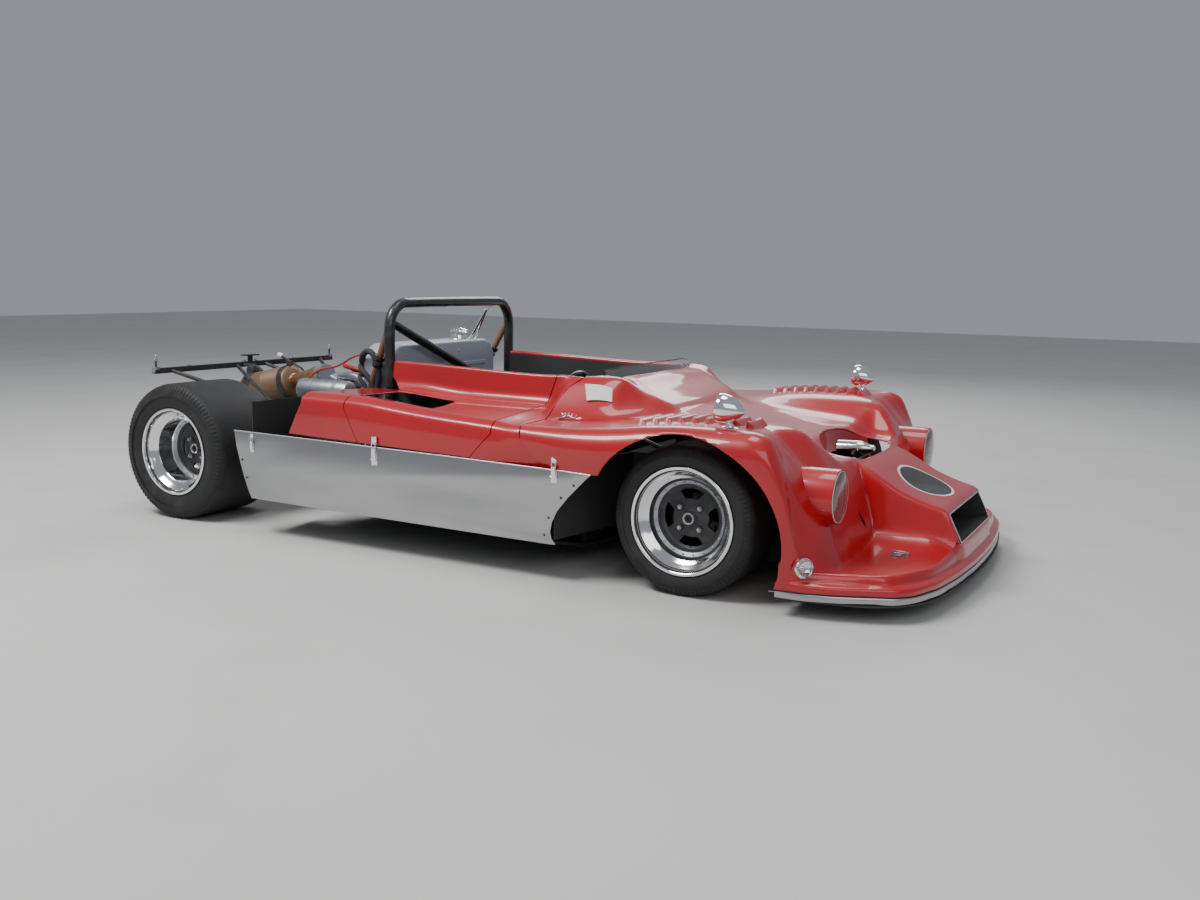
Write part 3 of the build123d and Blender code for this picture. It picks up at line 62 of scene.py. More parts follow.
def place(x: float, y: float, z: float) -> Vector:
    """Returns a point of the model frame in metres for millimetres from the front axle line."""
    return Vector(((x + FRONT_AXLE_X) * MM, y * MM, z * MM))


class Axis(Enum):
    """A direction that a turned or flat piece is built along."""

    X = (1.0, 0.0, 0.0)
    Y = (0.0, 1.0, 0.0)
    Z = (0.0, 0.0, 1.0)


class Curve:
    """A smooth curve through measured pairs that doesn't overshoot between them."""

    def __init__(self, *pairs: tuple[float, float]) -> None:
        """Sorts the pairs and works out a slope at each.

        Args:
            pairs: places and the heights there.
        """
        ordered = sorted(pairs)
        self.x = np.array([p[0] for p in ordered], dtype=float)
        self.y = np.array([p[1] for p in ordered], dtype=float)
        step = np.diff(self.x)
        rise = np.diff(self.y) / step
        slope = np.zeros(len(self.x))
        if len(rise) > 1:
            same = rise[:-1] * rise[1:] > 0
            first = 2 * step[1:] + step[:-1]
            second = step[1:] + 2 * step[:-1]
            lower = first / np.where(same, rise[:-1], 1)
            upper = second / np.where(same, rise[1:], 1)
            slope[1:-1] = np.where(same, (first + second) / (lower + upper), 0)
        slope[0] = rise[0]
        slope[-1] = rise[-1]
        self.slope = slope

    def __call__(self, value: float | Array) -> Array:
        """Gives the curve's height at one value or an array of them.

        Args:
            value: places along the curve.

        Returns:
            The heights there.
        """
        v = np.clip(np.asarray(value, dtype=float), self.x[0], self.x[-1])
        i = np.clip(np.searchsorted(self.x, v, side="right") - 1, 0, len(self.x) - 2)
        step = self.x[i + 1] - self.x[i]
        t = (v - self.x[i]) / step
        low = (1 + 2 * t) * (1 - t) ** 2 * self.y[i] + t * (1 - t) ** 2 * step * self.slope[i]
        return low + t * t * (3 - 2 * t) * self.y[i + 1] + t * t * (t - 1) * step * self.slope[i + 1]


def curve(*pairs: tuple[float, float]) -> Curve:
    """Returns a dataclass field that starts as a curve through pairs."""
    return field(default_factory=lambda: Curve(*pairs))


def soft_max(a: Array, b: Array, blend: float) -> Array:
    """Returns the higher of two heights with the step between them rounded over a width."""
    near = np.clip(0.5 + 0.5 * (a - b) / blend, 0, 1)
    return b + (a - b) * near + blend * near * (1 - near)


def soft_min(a: Array, b: Array, blend: float) -> Array:
    """Returns the lower of two heights with the step between them rounded over a width."""
    return -soft_max(-a, -b, blend)


def ease(value: Array) -> Array:
    """Returns a step from 0 to 1 with soft ends."""
    t = np.clip(value, 0, 1)
    return t * t * (3 - 2 * t)


def around(count: int, start: float = 0.0) -> Pairs:
    """Returns the cosine and sine at even steps round a circle, from a first angle in degrees."""
    angles = [math.radians(start + 360 * i / count) for i in range(count)]
    return [(math.cos(a), math.sin(a)) for a in angles]


def solid(start: float, end: float, radius: float) -> Pairs:
    """Returns the profile of a plain round bar between two places along its axis."""
    return [(start, 0), (start, radius), (end, radius), (end, 0)]


def cowl_line(y: float) -> float:
    """Returns the x of the cockpit opening's front edge at a place across."""
    return -440 - 70 * (y / 420) ** 2


def clear() -> None:
    """Leaves edit mode and deselects everything."""
    if bpy.context.object and bpy.context.object.mode != "OBJECT":
        bpy.ops.object.mode_set(mode="OBJECT")
    bpy.ops.object.select_all(action="DESELECT")


def hold(piece: Piece) -> Piece:
    """Makes a piece the only one selected and the active one.

    Args:
        piece: the mesh.

    Returns:
        The same piece.
    """
    clear()
    piece.select_set(True)
    bpy.context.view_layer.objects.active = piece
    return piece


def title(piece: Piece, name: str) -> Piece:
    """Gives a piece and its mesh a name.

    Args:
        piece: the mesh.
        name: its new name.

    Returns:
        The same piece.
    """
    piece.name = name
    piece.data.name = name
    return piece


def settle(piece: Piece, name: str, angle: float = 35.0) -> Piece:
    """Names a piece, puts its place into its mesh and shades it smooth below an angle.

    Args:
        piece: the mesh.
        name: its new name.
        angle: edges sharper than this many degrees stay sharp.

    Returns:
        The same piece.
    """
    hold(piece)
    bpy.ops.object.transform_apply(location=True, rotation=True, scale=True)
    bpy.ops.object.shade_smooth_by_angle(angle=math.radians(angle))
    return title(piece, name)


def modify(piece: Piece, kind: str, **settings: object) -> Piece:
    """Adds a modifier with its settings and applies it.

    Args:
        piece: the mesh.
        kind: the modifier's type.
        settings: the modifier's settings by name.

    Returns:
        The same piece.
    """
    hold(piece)
    modifier = piece.modifiers.new(kind.title(), kind)
    for key, value in settings.items():
        setattr(modifier, key, value)
    bpy.ops.object.modifier_apply(modifier=modifier.name)
    return piece


def soften(piece: Piece, edge: float, steps: int) -> None:
    """Rounds a piece's edges by a width, where that is more than nothing."""
    if edge > 0:
        modify(piece, "BEVEL", width=edge * MM, segments=steps, limit_method="ANGLE")


def block(name: str, low: Point, high: Point, edge: float = 1.0, steps: int = 2) -> Piece:
    """Builds a block between two corners with rounded edges.

    Args:
        name: the piece's name.
        low: lowest corner.
        high: highest corner.
        edge: width of the rounded edge.
        steps: segments across the rounded edge.

    Returns:
        The block.
    """
    clear()
    a, b = place(*low), place(*high)
    bpy.ops.mesh.primitive_cube_add(size=1, location=(a + b) / 2, scale=b - a)
    piece = settle(bpy.context.object, name)
    soften(piece, edge, steps)
    return settle(piece, name)


def turned(
    name: str, profile: Pairs, centre: Point, along: Sequence[float] = LEFT, steps: int = 48,
    angle: float = 35.0,
) -> Piece:
    """Builds a turned piece: a profile spun round an axis.

    Args:
        name: the piece's name.
        profile: pairs of distance along the axis and radius.
        centre: where the axis starts.
        along: the axis' direction.
        steps: facets round the axis.
        angle: edges sharper than this many degrees stay sharp.

    Returns:
        The turned piece.
    """
    clear()
    bpy.ops.mesh.primitive_plane_add(size=0.01, location=(0, 0, 0))
    piece = bpy.context.object
    bpy.ops.object.mode_set(mode="EDIT")
    bpy.ops.mesh.select_all(action="SELECT")
    bpy.ops.mesh.merge(type="CENTER")
    bpy.ops.transform.translate(value=(profile[0][0] * MM, profile[0][1] * MM, 0))
    for last, new in zip(profile, profile[1:]):
        move = ((new[0] - last[0]) * MM, (new[1] - last[1]) * MM, 0)
        bpy.ops.mesh.extrude_vertices_move(TRANSFORM_OT_translate={"value": move})
    bpy.ops.mesh.select_all(action="SELECT")
    bpy.ops.mesh.spin(steps=steps, angle=2 * math.pi, center=(0, 0, 0), axis=AHEAD)
    bpy.ops.mesh.remove_doubles(threshold=2e-6)
    bpy.ops.mesh.normals_make_consistent(inside=False)
    bpy.ops.object.mode_set(mode="OBJECT")
    turn = Vector(AHEAD).rotation_difference(Vector(along).normalized())
    piece.data.transform(Matrix.Translation(place(*centre)) @ turn.to_matrix().to_4x4())
    return settle(piece, name, angle)


def bolt(
    spot: Point, radius: float, tip: float, along: Sequence[float] = UP, height: float = 7, sides: int = 6,
) -> Piece:
    """Returns a bolt's head that stands on a spot and narrows to its tip's radius."""
    profile = [(0, 0), (0, radius), (height - 2, radius), (height, tip), (height, 0)]
    return turned("bolt", profile, spot, along, sides, 20)


def pipe(
    name: str, points: Sequence[Point], radius: float, radii: Sequence[float] = (), smooth: bool = True,
    sides: int = 4, bends: int = 10,
) -> Piece:
    """Builds a round tube or bar through points.

    Args:
        name: the piece's name.
        points: the points that its centre line passes.
        radius: its radius.
        radii: the radius at each point, where it changes.
        smooth: whether it bends in curves between the points.
        sides: a quarter of the facets round it, less one.
        bends: segments from point to point.

    Returns:
        The tube.
    """
    clear()
    bpy.ops.curve.primitive_bezier_curve_add(location=(0, 0, 0))
    piece = bpy.context.object
    spline = piece.data.splines[0]
    spline.bezier_points.add(len(points) - 2)
    for knot, point, share in zip(spline.bezier_points, points, radii or [radius] * len(points)):
        knot.handle_left_type = knot.handle_right_type = "AUTO" if smooth else "VECTOR"
        knot.co = place(*point)
        knot.radius = share / radius
    piece.data.bevel_depth = radius * MM
    piece.data.bevel_resolution = sides
    piece.data.resolution_u = bends if smooth else 1
    piece.data.use_fill_caps = True
    hold(piece)
    bpy.ops.object.convert(target="MESH")
    return settle(bpy.context.object, name, 50)


def plate(
    name: str, outline: Pairs, low: float, high: float, axis: Axis = Axis.Y,
    edge: float = 0.8, steps: int = 2,
) -> Piece:
    """Builds a flat piece: an outline given a thickness.

    Args:
        name: the piece's name.
        outline: corner pairs in the two directions across the axis, in the order x, y, z.
        low: where it starts along the axis.
        high: where it ends along the axis.
        axis: the direction of its thickness.
        edge: width of the rounded edge.
        steps: segments across the rounded edge.

    Returns:
        The flat piece.
    """
    clear()
    bpy.ops.mesh.primitive_circle_add(vertices=len(outline), fill_type="NGON")
    piece = bpy.context.object
    where = {
        Axis.X: lambda a, b: place(low, a, b),
        Axis.Y: lambda a, b: place(a, low, b),
        Axis.Z: lambda a, b: place(a, b, low),
    }[axis]
    for vertex, pair in zip(piece.data.vertices, outline):
        vertex.co = where(*pair)
    bpy.ops.object.mode_set(mode="EDIT")
    bpy.ops.mesh.select_all(action="SELECT")
    move = Vector(axis.value) * (high - low) * MM
    bpy.ops.mesh.extrude_region_move(TRANSFORM_OT_translate={"value": move})
    bpy.ops.mesh.select_all(action="SELECT")
    bpy.ops.mesh.normals_make_consistent(inside=False)
    bpy.ops.object.mode_set(mode="OBJECT")
    soften(piece, edge, steps)
    return settle(piece, name)


def skin(name: str, places: Array, wall: float = 0.0, angle: float = 40.0) -> Piece:
    """Builds a panel: a grid laid over rows of places, with its wall thickness.

    Args:
        name: the piece's name.
        places: rows by columns by x, y, z in millimetres from the front axle line.
        wall: wall thickness, inwards where positive.
        angle: edges sharper than this many degrees stay sharp.

    Returns:
        The panel.
    """
    clear()
    rows, columns = places.shape[:2]
    bpy.ops.mesh.primitive_grid_add(x_subdivisions=columns - 1, y_subdivisions=rows - 1, size=1)
    piece = bpy.context.object
    metres = (places + np.array((FRONT_AXLE_X, 0.0, 0.0))) * MM
    piece.data.vertices.foreach_set("co", metres.reshape(-1))
    piece.data.update()
    if wall:
        modify(piece, "SOLIDIFY", thickness=wall * MM, offset=-1.0)
    return settle(piece, name, angle)


def cut(piece: Piece, *tools: Piece) -> Piece:
    """Takes the tools' shapes out of a piece and removes the tools.

    Args:
        piece: the mesh that is cut.
        tools: closed meshes, used up.

    Returns:
        The cut piece.
    """
    for tool in tools:
        modify(piece, "BOOLEAN", operation="DIFFERENCE", solver="EXACT", object=tool)
        bpy.data.objects.remove(tool)
    return piece


def join(name: str, pieces: Iterable[Piece]) -> Piece:
    """Makes several meshes one piece.

    Args:
        name: the joined piece's name.
        pieces: the meshes, used up.

    Returns:
        The joined piece.
    """
    clear()
    parts = list(pieces)
    for part in parts:
        part.select_set(True)
    bpy.context.view_layer.objects.active = parts[0]
    if len(parts) > 1:
        bpy.ops.object.join()
    return title(bpy.context.view_layer.objects.active, name)


def copy(piece: Piece, name: str, move: Matrix) -> Piece:
    """Makes a copy with its own mesh, moved by a matrix.

    Args:
        piece: the mesh.
        name: the copy's name.
        move: where it goes, in metres.

    Returns:
        The copy.
    """
    hold(piece)
    bpy.ops.object.duplicate()
    twin = bpy.context.object
    twin.data.transform(move)
    if move.determinant() < 0:
        twin.data.flip_normals()
    twin.data.update()
    return title(twin, name)


def other_side(piece: Piece) -> Piece:
    """Returns the mirror copy of a left piece on the car's right."""
    return copy(piece, piece.name.replace("left", "right"), Matrix.Diagonal((1, -1, 1, 1)))


def shift(x: float, y: float, z: float) -> Matrix:
    """Returns the matrix of a move in millimetres."""
    return Matrix.Translation((x * MM, y * MM, z * MM))


def repeat(piece: Piece, name: str, moves: Iterable[Matrix]) -> Piece:
    """Makes copies at each move joined into one piece, and removes the first.

    Args:
        piece: the mesh, used up.
        name: the row's name.
        moves: where each copy goes, in metres.

    Returns:
        The row.
    """
    copies = [copy(piece, f"{name}_{i}", move) for i, move in enumerate(moves)]
    bpy.data.objects.remove(piece)
    return join(name, copies)


class Signal:
    """A shader socket that takes part in sums."""

    def __init__(self, bench: "Paintshop", socket: bpy.types.NodeSocket) -> None:
        """Keeps the node tree's bench and the socket."""
        self.bench = bench
        self.socket = socket

    def _maths(self, operation: str, *values: "Signal | float") -> "Signal":
        """Returns the result of a Math node on values."""
        return self.bench.node("ShaderNodeMath", {"operation": operation}, dict(enumerate(values)))

    def __add__(self, other: "Signal | float") -> "Signal":
        """Returns the sum."""
        return self._maths("ADD", self, other)

    __radd__ = __add__

    def __mul__(self, other: "Signal | float") -> "Signal":
        """Returns the product."""
        return self._maths("MULTIPLY", self, other)

    __rmul__ = __mul__

    def __sub__(self, other: "Signal | float") -> "Signal":
        """Returns the difference."""
        return self._maths("SUBTRACT", self, other)

    def __rsub__(self, other: float) -> "Signal":
        """Returns the number less this."""
        return self._maths("SUBTRACT", other, self)

    def between(self, low: float, high: float) -> "Signal":
        """Gives 0 below low, 1 above high and a soft step between them.

        Args:
            low: where the step starts.
            high: where it ends.

        Returns:
            The step.
        """
        links = {"Value": self, "From Min": low, "From Max": high}
        settings = {"interpolation_type": "SMOOTHSTEP", "clamp": True}
        return self.bench.node("ShaderNodeMapRange", settings, links)


class Paintshop:
    """The node tree of one material."""

    def __init__(self, name: str) -> None:
        """Makes a material with its shader and the place on the piece.

        Args:
            name: the material's name.
        """
        self.material = bpy.data.materials.new(name)
        self.material.use_nodes = True
        self.tree = self.material.node_tree
        self.shader = self.tree.nodes["Principled BSDF"]
        self.where = self.node("ShaderNodeTexCoord", {}, {}, "Object")

    def node(self, kind: str, settings: dict, links: dict, output: str | int = 0) -> Signal:
        """Gives one output of a new node.

        Args:
            kind: the node's type.
            settings: its own settings, set first.
            links: values or signals for its input sockets by name or number.
            output: the output that is returned.

        Returns:
            The output.
        """
        node = self.tree.nodes.new(kind)
        for key, value in settings.items():
            setattr(node, key, value)
        for key, value in links.items():
            self.feed(node.inputs[key], value)
        return Signal(self, node.outputs[output])

    def feed(self, socket: bpy.types.NodeSocket, value: object) -> None:
        """Links a signal to a socket or sets its value.

        Args:
            socket: an input socket.
            value: a signal, a number or a colour.
        """
        if isinstance(value, Signal):
            self.tree.links.new(value.socket, socket)
        else:
            socket.default_value = value

    def noise(self, scale: float, stretch: Point = (1, 1, 1), detail: float = 3.0) -> Signal:
        """Gives cloudy noise of a scale per metre, stretched along an axis.

        Args:
            scale: clouds per metre.
            stretch: its factors along x, y and z.
            detail: how many finer layers it has.

        Returns:
            The noise.
        """
        mapped = self.node("ShaderNodeMapping", {}, {"Vector": self.where, "Scale": stretch})
        links = {"Vector": mapped, "Scale": scale, "Detail": detail}
        return self.node("ShaderNodeTexNoise", {}, links, "Fac")

    def mix(self, share: Signal, low: Sequence[float], high: Sequence[float]) -> Signal:
        """Returns a colour between two by a share."""
        links = {0: share, 6: (*low, 1.0), 7: (*high, 1.0)}
        return self.node("ShaderNodeMix", {"data_type": "RGBA"}, links, 2)

    def bump(self, height: Signal, depth: float) -> Signal:
        """Returns a normal with relief of a depth in metres."""
        return self.node("ShaderNodeBump", {}, {"Height": height, "Distance": depth, "Strength": 1.0})


@dataclass(frozen=True)
class Finish:
    """A surface finish with a little natural unevenness.

    The colour goes towards `worn` in cloudy patches of `scale` per metre, and the gloss changes with them.
    """

    name: str
    slot: str
    colour: Point
    worn: Point
    roughness: float
    spread: float = 0.08
    metallic: float = 0.0
    coat: float = 0.0
    scale: float = 9.0
    patch: tuple[float, float] = (0.45, 0.75)
    stretch: Point = (1.0, 1.0, 1.0)
    relief: float = 0.0
    relief_scale: float = 300.0
    clear: float = 0.0

    def material(self) -> bpy.types.Material:
        """Returns the material, made once."""
        made = bpy.data.materials.get(self.name)
        if made:
            return made
        shop = Paintshop(self.name)
        cloud = shop.noise(self.scale, self.stretch)
        share = cloud.between(*self.patch)
        shop.feed(shop.shader.inputs["Base Color"], shop.mix(share, self.colour, self.worn))
        shop.feed(shop.shader.inputs["Roughness"], share * self.spread + self.roughness)
        shop.feed(shop.shader.inputs["Metallic"], self.metallic)
        if self.coat:
            shop.feed(shop.shader.inputs["Coat Weight"], self.coat)
            shop.feed(shop.shader.inputs["Coat Roughness"], 0.04)
        if self.relief:
            fine = shop.noise(self.relief_scale, self.stretch, 2.0)
            shop.feed(shop.shader.inputs["Normal"], shop.bump(fine, self.relief * MM))
        if self.clear:
            shop.feed(shop.shader.inputs["Transmission Weight"], self.clear)
            shop.feed(shop.shader.inputs["IOR"], 1.45)
        return shop.material


RED = Finish(
    "red_paint", "red_body", (0.44, 0.001, 0.006), (0.38, 0.001, 0.007), 0.34, 0.08, coat=0.75, scale=4.0,
)
ALUMINIUM = Finish(
    "brushed_aluminium", "bare_aluminium", (0.47, 0.475, 0.48), (0.4, 0.405, 0.41), 0.3, 0.1, 1.0,
    scale=2.2, stretch=(0.7, 1, 3), relief=0.012, relief_scale=120.0,
)
PLAIN_ALUMINIUM = Finish(
    "plain_aluminium", "bare_aluminium", (0.7, 0.7, 0.7), (0.55, 0.55, 0.54), 0.36, 0.14, 1.0, scale=14.0,
)
POLISHED = Finish(
    "polished_aluminium", "chrome", (0.86, 0.86, 0.86), (0.78, 0.78, 0.78), 0.09, 0.1, 1.0, scale=12.0,
)
CHROME = Finish("chrome", "chrome", (0.88, 0.88, 0.89), (0.8, 0.8, 0.82), 0.04, 0.05, 1.0, scale=10.0)
RUBBER = Finish(
    "tyre_rubber", "tyre", (0.013, 0.013, 0.014), (0.03, 0.029, 0.028), 0.66, 0.18, scale=20.0,
    relief=0.25, relief_scale=220.0,
)
BLACK_TUBE = Finish(
    "black_enamel", "black_tube", (0.012, 0.012, 0.013), (0.03, 0.03, 0.032), 0.3, 0.15, coat=0.4,
    scale=25.0,
)
BLACK_PANEL = Finish(
    "black_panel", "black_panel", (0.012, 0.012, 0.013), (0.026, 0.025, 0.025), 0.55, 0.15, scale=12.0,
)
CASTING = Finish(
    "grey_casting", "castings", (0.19, 0.19, 0.19), (0.11, 0.105, 0.1), 0.48, 0.2, 0.75, scale=18.0,
    relief=0.2, relief_scale=420.0,
)
GREY_PAINT = Finish(
    "grey_paint", "grey_paint", (0.33, 0.35, 0.37), (0.24, 0.26, 0.28), 0.38, 0.15, coat=0.3, scale=8.0,
)
STEEL = Finish(
    "plain_steel", "plain_steel", (0.44, 0.43, 0.42), (0.28, 0.26, 0.24), 0.32, 0.2, 1.0, scale=30.0,
)
RUSTY = Finish(
    "rusty_steel", "rusty_steel", (0.25, 0.14, 0.075), (0.11, 0.065, 0.045), 0.62, 0.2, 0.35, scale=16.0,
    relief=0.2, relief_scale=260.0,
)
BRONZE = Finish(
    "heat_bronze", "exhaust_steel", (0.5, 0.31, 0.14), (0.34, 0.19, 0.1), 0.3, 0.2, 0.9, scale=14.0,
)
DARK_ALLOY = Finish(
    "dark_alloy", "rusty_steel", (0.055, 0.055, 0.058), (0.1, 0.095, 0.09), 0.42, 0.2, 0.6, scale=24.0,
)
CLEAR = Finish("clear_plastic", "clear", (0.95, 0.97, 0.97), (0.9, 0.93, 0.93), 0.04, 0.03, clear=0.96)
WHITE = Finish("white_plastic", "clear", (0.8, 0.8, 0.79), (0.72, 0.72, 0.7), 0.4, 0.1, scale=20.0)
DARK_GREY = Finish(
    "dark_vinyl", "red_body", (0.03, 0.031, 0.033), (0.055, 0.055, 0.055), 0.5, 0.15, scale=15.0,
)
FABRIC = Finish(
    "black_cloth", "seat_cover", (0.02, 0.02, 0.022), (0.036, 0.036, 0.038), 0.85, 0.1, scale=30.0,
    relief=0.3, relief_scale=900.0,
)
RED_HOSE = Finish(
    "red_silicone", "cam_covers", (0.42, 0.02, 0.018), (0.3, 0.018, 0.016), 0.4, 0.12, scale=20.0,
)


@dataclass
class Assembly:
    """A sub-assembly of the car, whose pieces ride on one of its bodies."""

    body: str = "chassis"

    def dress(self, piece: Piece, finish: Finish, node: str = "", slot: str = "", body: str = "") -> None:
        """Gives a piece its finish and its place on a body.

        Args:
            piece: the mesh.
            finish: its finish.
            node: the plain node that it stands for.
            slot: not used.
            body: the body it rides on, where not the assembly's own.
        """
        piece.data.materials.clear()
        piece.data.materials.append(finish.material())
        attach(piece, body or self.body)
        if node:
            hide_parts(node)
        log.info("%s: %d faces", piece.name, len(piece.data.polygons))

    def both(self, piece: Piece, finish: Finish, node: str = "", right: str = "", slot: str = "") -> None:
        """Dresses a left piece and its mirror copy, each with the plain node that it stands for.

        Args:
            piece: the left mesh.
            finish: its finish.
            node: the plain node that the left piece stands for.
            right: the plain node that the right piece stands for.
            slot: handed on to dress, which doesn't use it.
        """
        twin = other_side(piece)
        self.dress(piece, finish, node, slot)
        self.dress(twin, finish, right, slot)


def spaced(low: float, high: float, step: float) -> list[float]:
    """Returns values from low up to but without high, about a step apart."""
    count = max(1, round(abs(high - low) / step))
    return [low + (high - low) * i / count for i in range(count)]


@dataclass
class BodyShape:
    """The outer shape of the body's front, as heights over the plan."""

    nose_top: Curve = curve(
        (-60, 508), (60, 492), (150, 473), (250, 452), (336, 436), (392, 425), (449, 407), (490, 388),
        (534, 362), (577, 338), (625, 318), (682, 300), (720, 290), (738, 283), (745, 268), (768, 218),
        (790, 168), (800, 160),
    )
    nose_side: Curve = curve(
        (0, 1), (252, 1), (262, 0.985), (268, 0.94), (271.5, 0.85), (274, 0.72), (277, 0.54), (280, 0.38),
        (283, 0.25), (287, 0.14), (294, 0.055), (304, 0.012), (320, 0), (2000, 0),
    )
    deck_rise: Curve = curve(
        (0, 50), (285, 50), (300, 44), (340, 27), (400, 12), (450, 6), (520, 2), (620, 0), (2000, 0),
    )
    front_wall: Curve = curve(
        (-400, 0), (-2, 0), (3, 3), (10, 20), (27, 61), (53, 126), (94, 212), (130, 272), (162, 312),
        (208, 361), (258, 409), (308, 430), (400, 450), (2000, 470),
    )
    wall_foot: Curve = curve(
        (0, 503), (285, 505), (450, 502), (560, 507), (640, 506), (700, 490), (760, 455), (800, 415),
        (838, 360), (848, 300), (900, 250),
    )
    wall_lean: Curve = curve(
        (0, 1.25), (350, 1.3), (480, 1.28), (560, 1.1), (616, 1.0), (700, 1.12), (760, 1.5), (800, 2.4),
        (838, 5.0), (900, 8.0),
    )
    crest: Curve = curve(
        (-700, 532), (-574, 530), (-400, 536), (-300, 543), (-200, 554), (-100, 568), (0, 577), (100, 580),
        (150, 580), (250, 580), (600, 580),
    )
    channel: Curve = curve(
        (-700, 530), (-400, 534), (-200, 530), (-60, 512), (60, 502), (150, 495), (222, 488), (250, 480),
        (275, 462), (300, 444), (340, 434), (600, 428),
    )
    flank: Curve = curve(
        (0, 0), (330, 0), (370, 0.09), (420, 0.38), (470, 0.70), (520, 0.90), (570, 0.98), (620, 1.0),
        (720, 1.0), (800, 0.965), (900, 0.93),
    )
    cowl_top: Curve = curve(
        (-700, 684), (-560, 682), (-470, 680), (-434, 675), (-386, 643), (-319, 605), (-279, 583),
        (-232, 552), (-150, 522), (-60, 505), (0, 470), (600, 400),
    )
    cowl_width: Curve = curve(
        (-700, 640), (-574, 632), (-500, 612), (-430, 575), (-330, 500), (-232, 420), (-100, 320),
        (600, 300),
    )
    outer: Curve = curve(
        (-700, 852), (-574, 858), (-480, 865), (-380, 872), (-250, 876), (150, 876), (230, 870), (290, 860),
        (330, 850), (360, 838), (385, 822), (415, 800), (440, 788), (491, 762), (534, 751), (570, 738),
        (625, 721), (657, 697),
    )
    front_edge: Curve = curve(
        (0, 790), (245, 789), (262, 787), (276, 776), (290, 770), (370, 763), (450, 756), (524, 748),
        (602, 713), (655, 686), (697, 657),
    )
    shoulder: Curve = curve(
        (-700, 30), (-574, 42), (-400, 62), (-200, 74), (200, 76), (300, 66), (350, 44), (385, 18),
        (410, 8), (800, 8),
    )
    cowl_rise: Curve = curve(
        (0, 46), (200, 30), (300, 24), (350, 50), (400, 85), (440, 88), (900, 88),
    )
    deck: float = 139.0
    nose_half: float = 262.0
    nose_tip: float = 738.0
    fender_blend: float = 46.0
    nose_blend: float = 14.0

    def height(self, x: Array, y: Array) -> Array:
        """Gives the height of the body's top at places of the plan.

        Args:
            x: forward of the front axle.
            y: to one side of the middle.

        Returns:
            The heights in millimetres.
        """
        y = np.abs(y)
        deck = self.deck + self.deck_rise(y) * ease((830 - x) / 160)
        nose = self.nose_top(x)
        side = self.nose_side(y - 8 * ease((x - 420) / 120) * ease((760 - x) / 200))
        wedge = deck + np.maximum(nose - deck, -10) * side
        wedge = np.where((y < self.nose_half) & (x > self.nose_tip), nose, wedge)
        reach = (self.wall_foot(y) - x) * self.wall_lean(y)
        top = self.channel(x) + (self.crest(x) - self.channel(x)) * self.flank(y)
        share = ease((self.cowl_width(x) - y) / (self.cowl_width(x) * 0.36))
        cowl = top + np.maximum(self.cowl_top(x) - top, 0) * share
        rise = self.cowl_rise(y) * ease((-330 - x) / 100)
        fender = soft_min(deck + self.front_wall(reach) + rise, cowl, self.fender_blend)
        return soft_max(fender, wedge, self.nose_blend)

    def at(self, x: float, y: float) -> float:
        """Returns the height of the body's top at one place."""
        return float(self.height(np.array(x), np.array(y)))


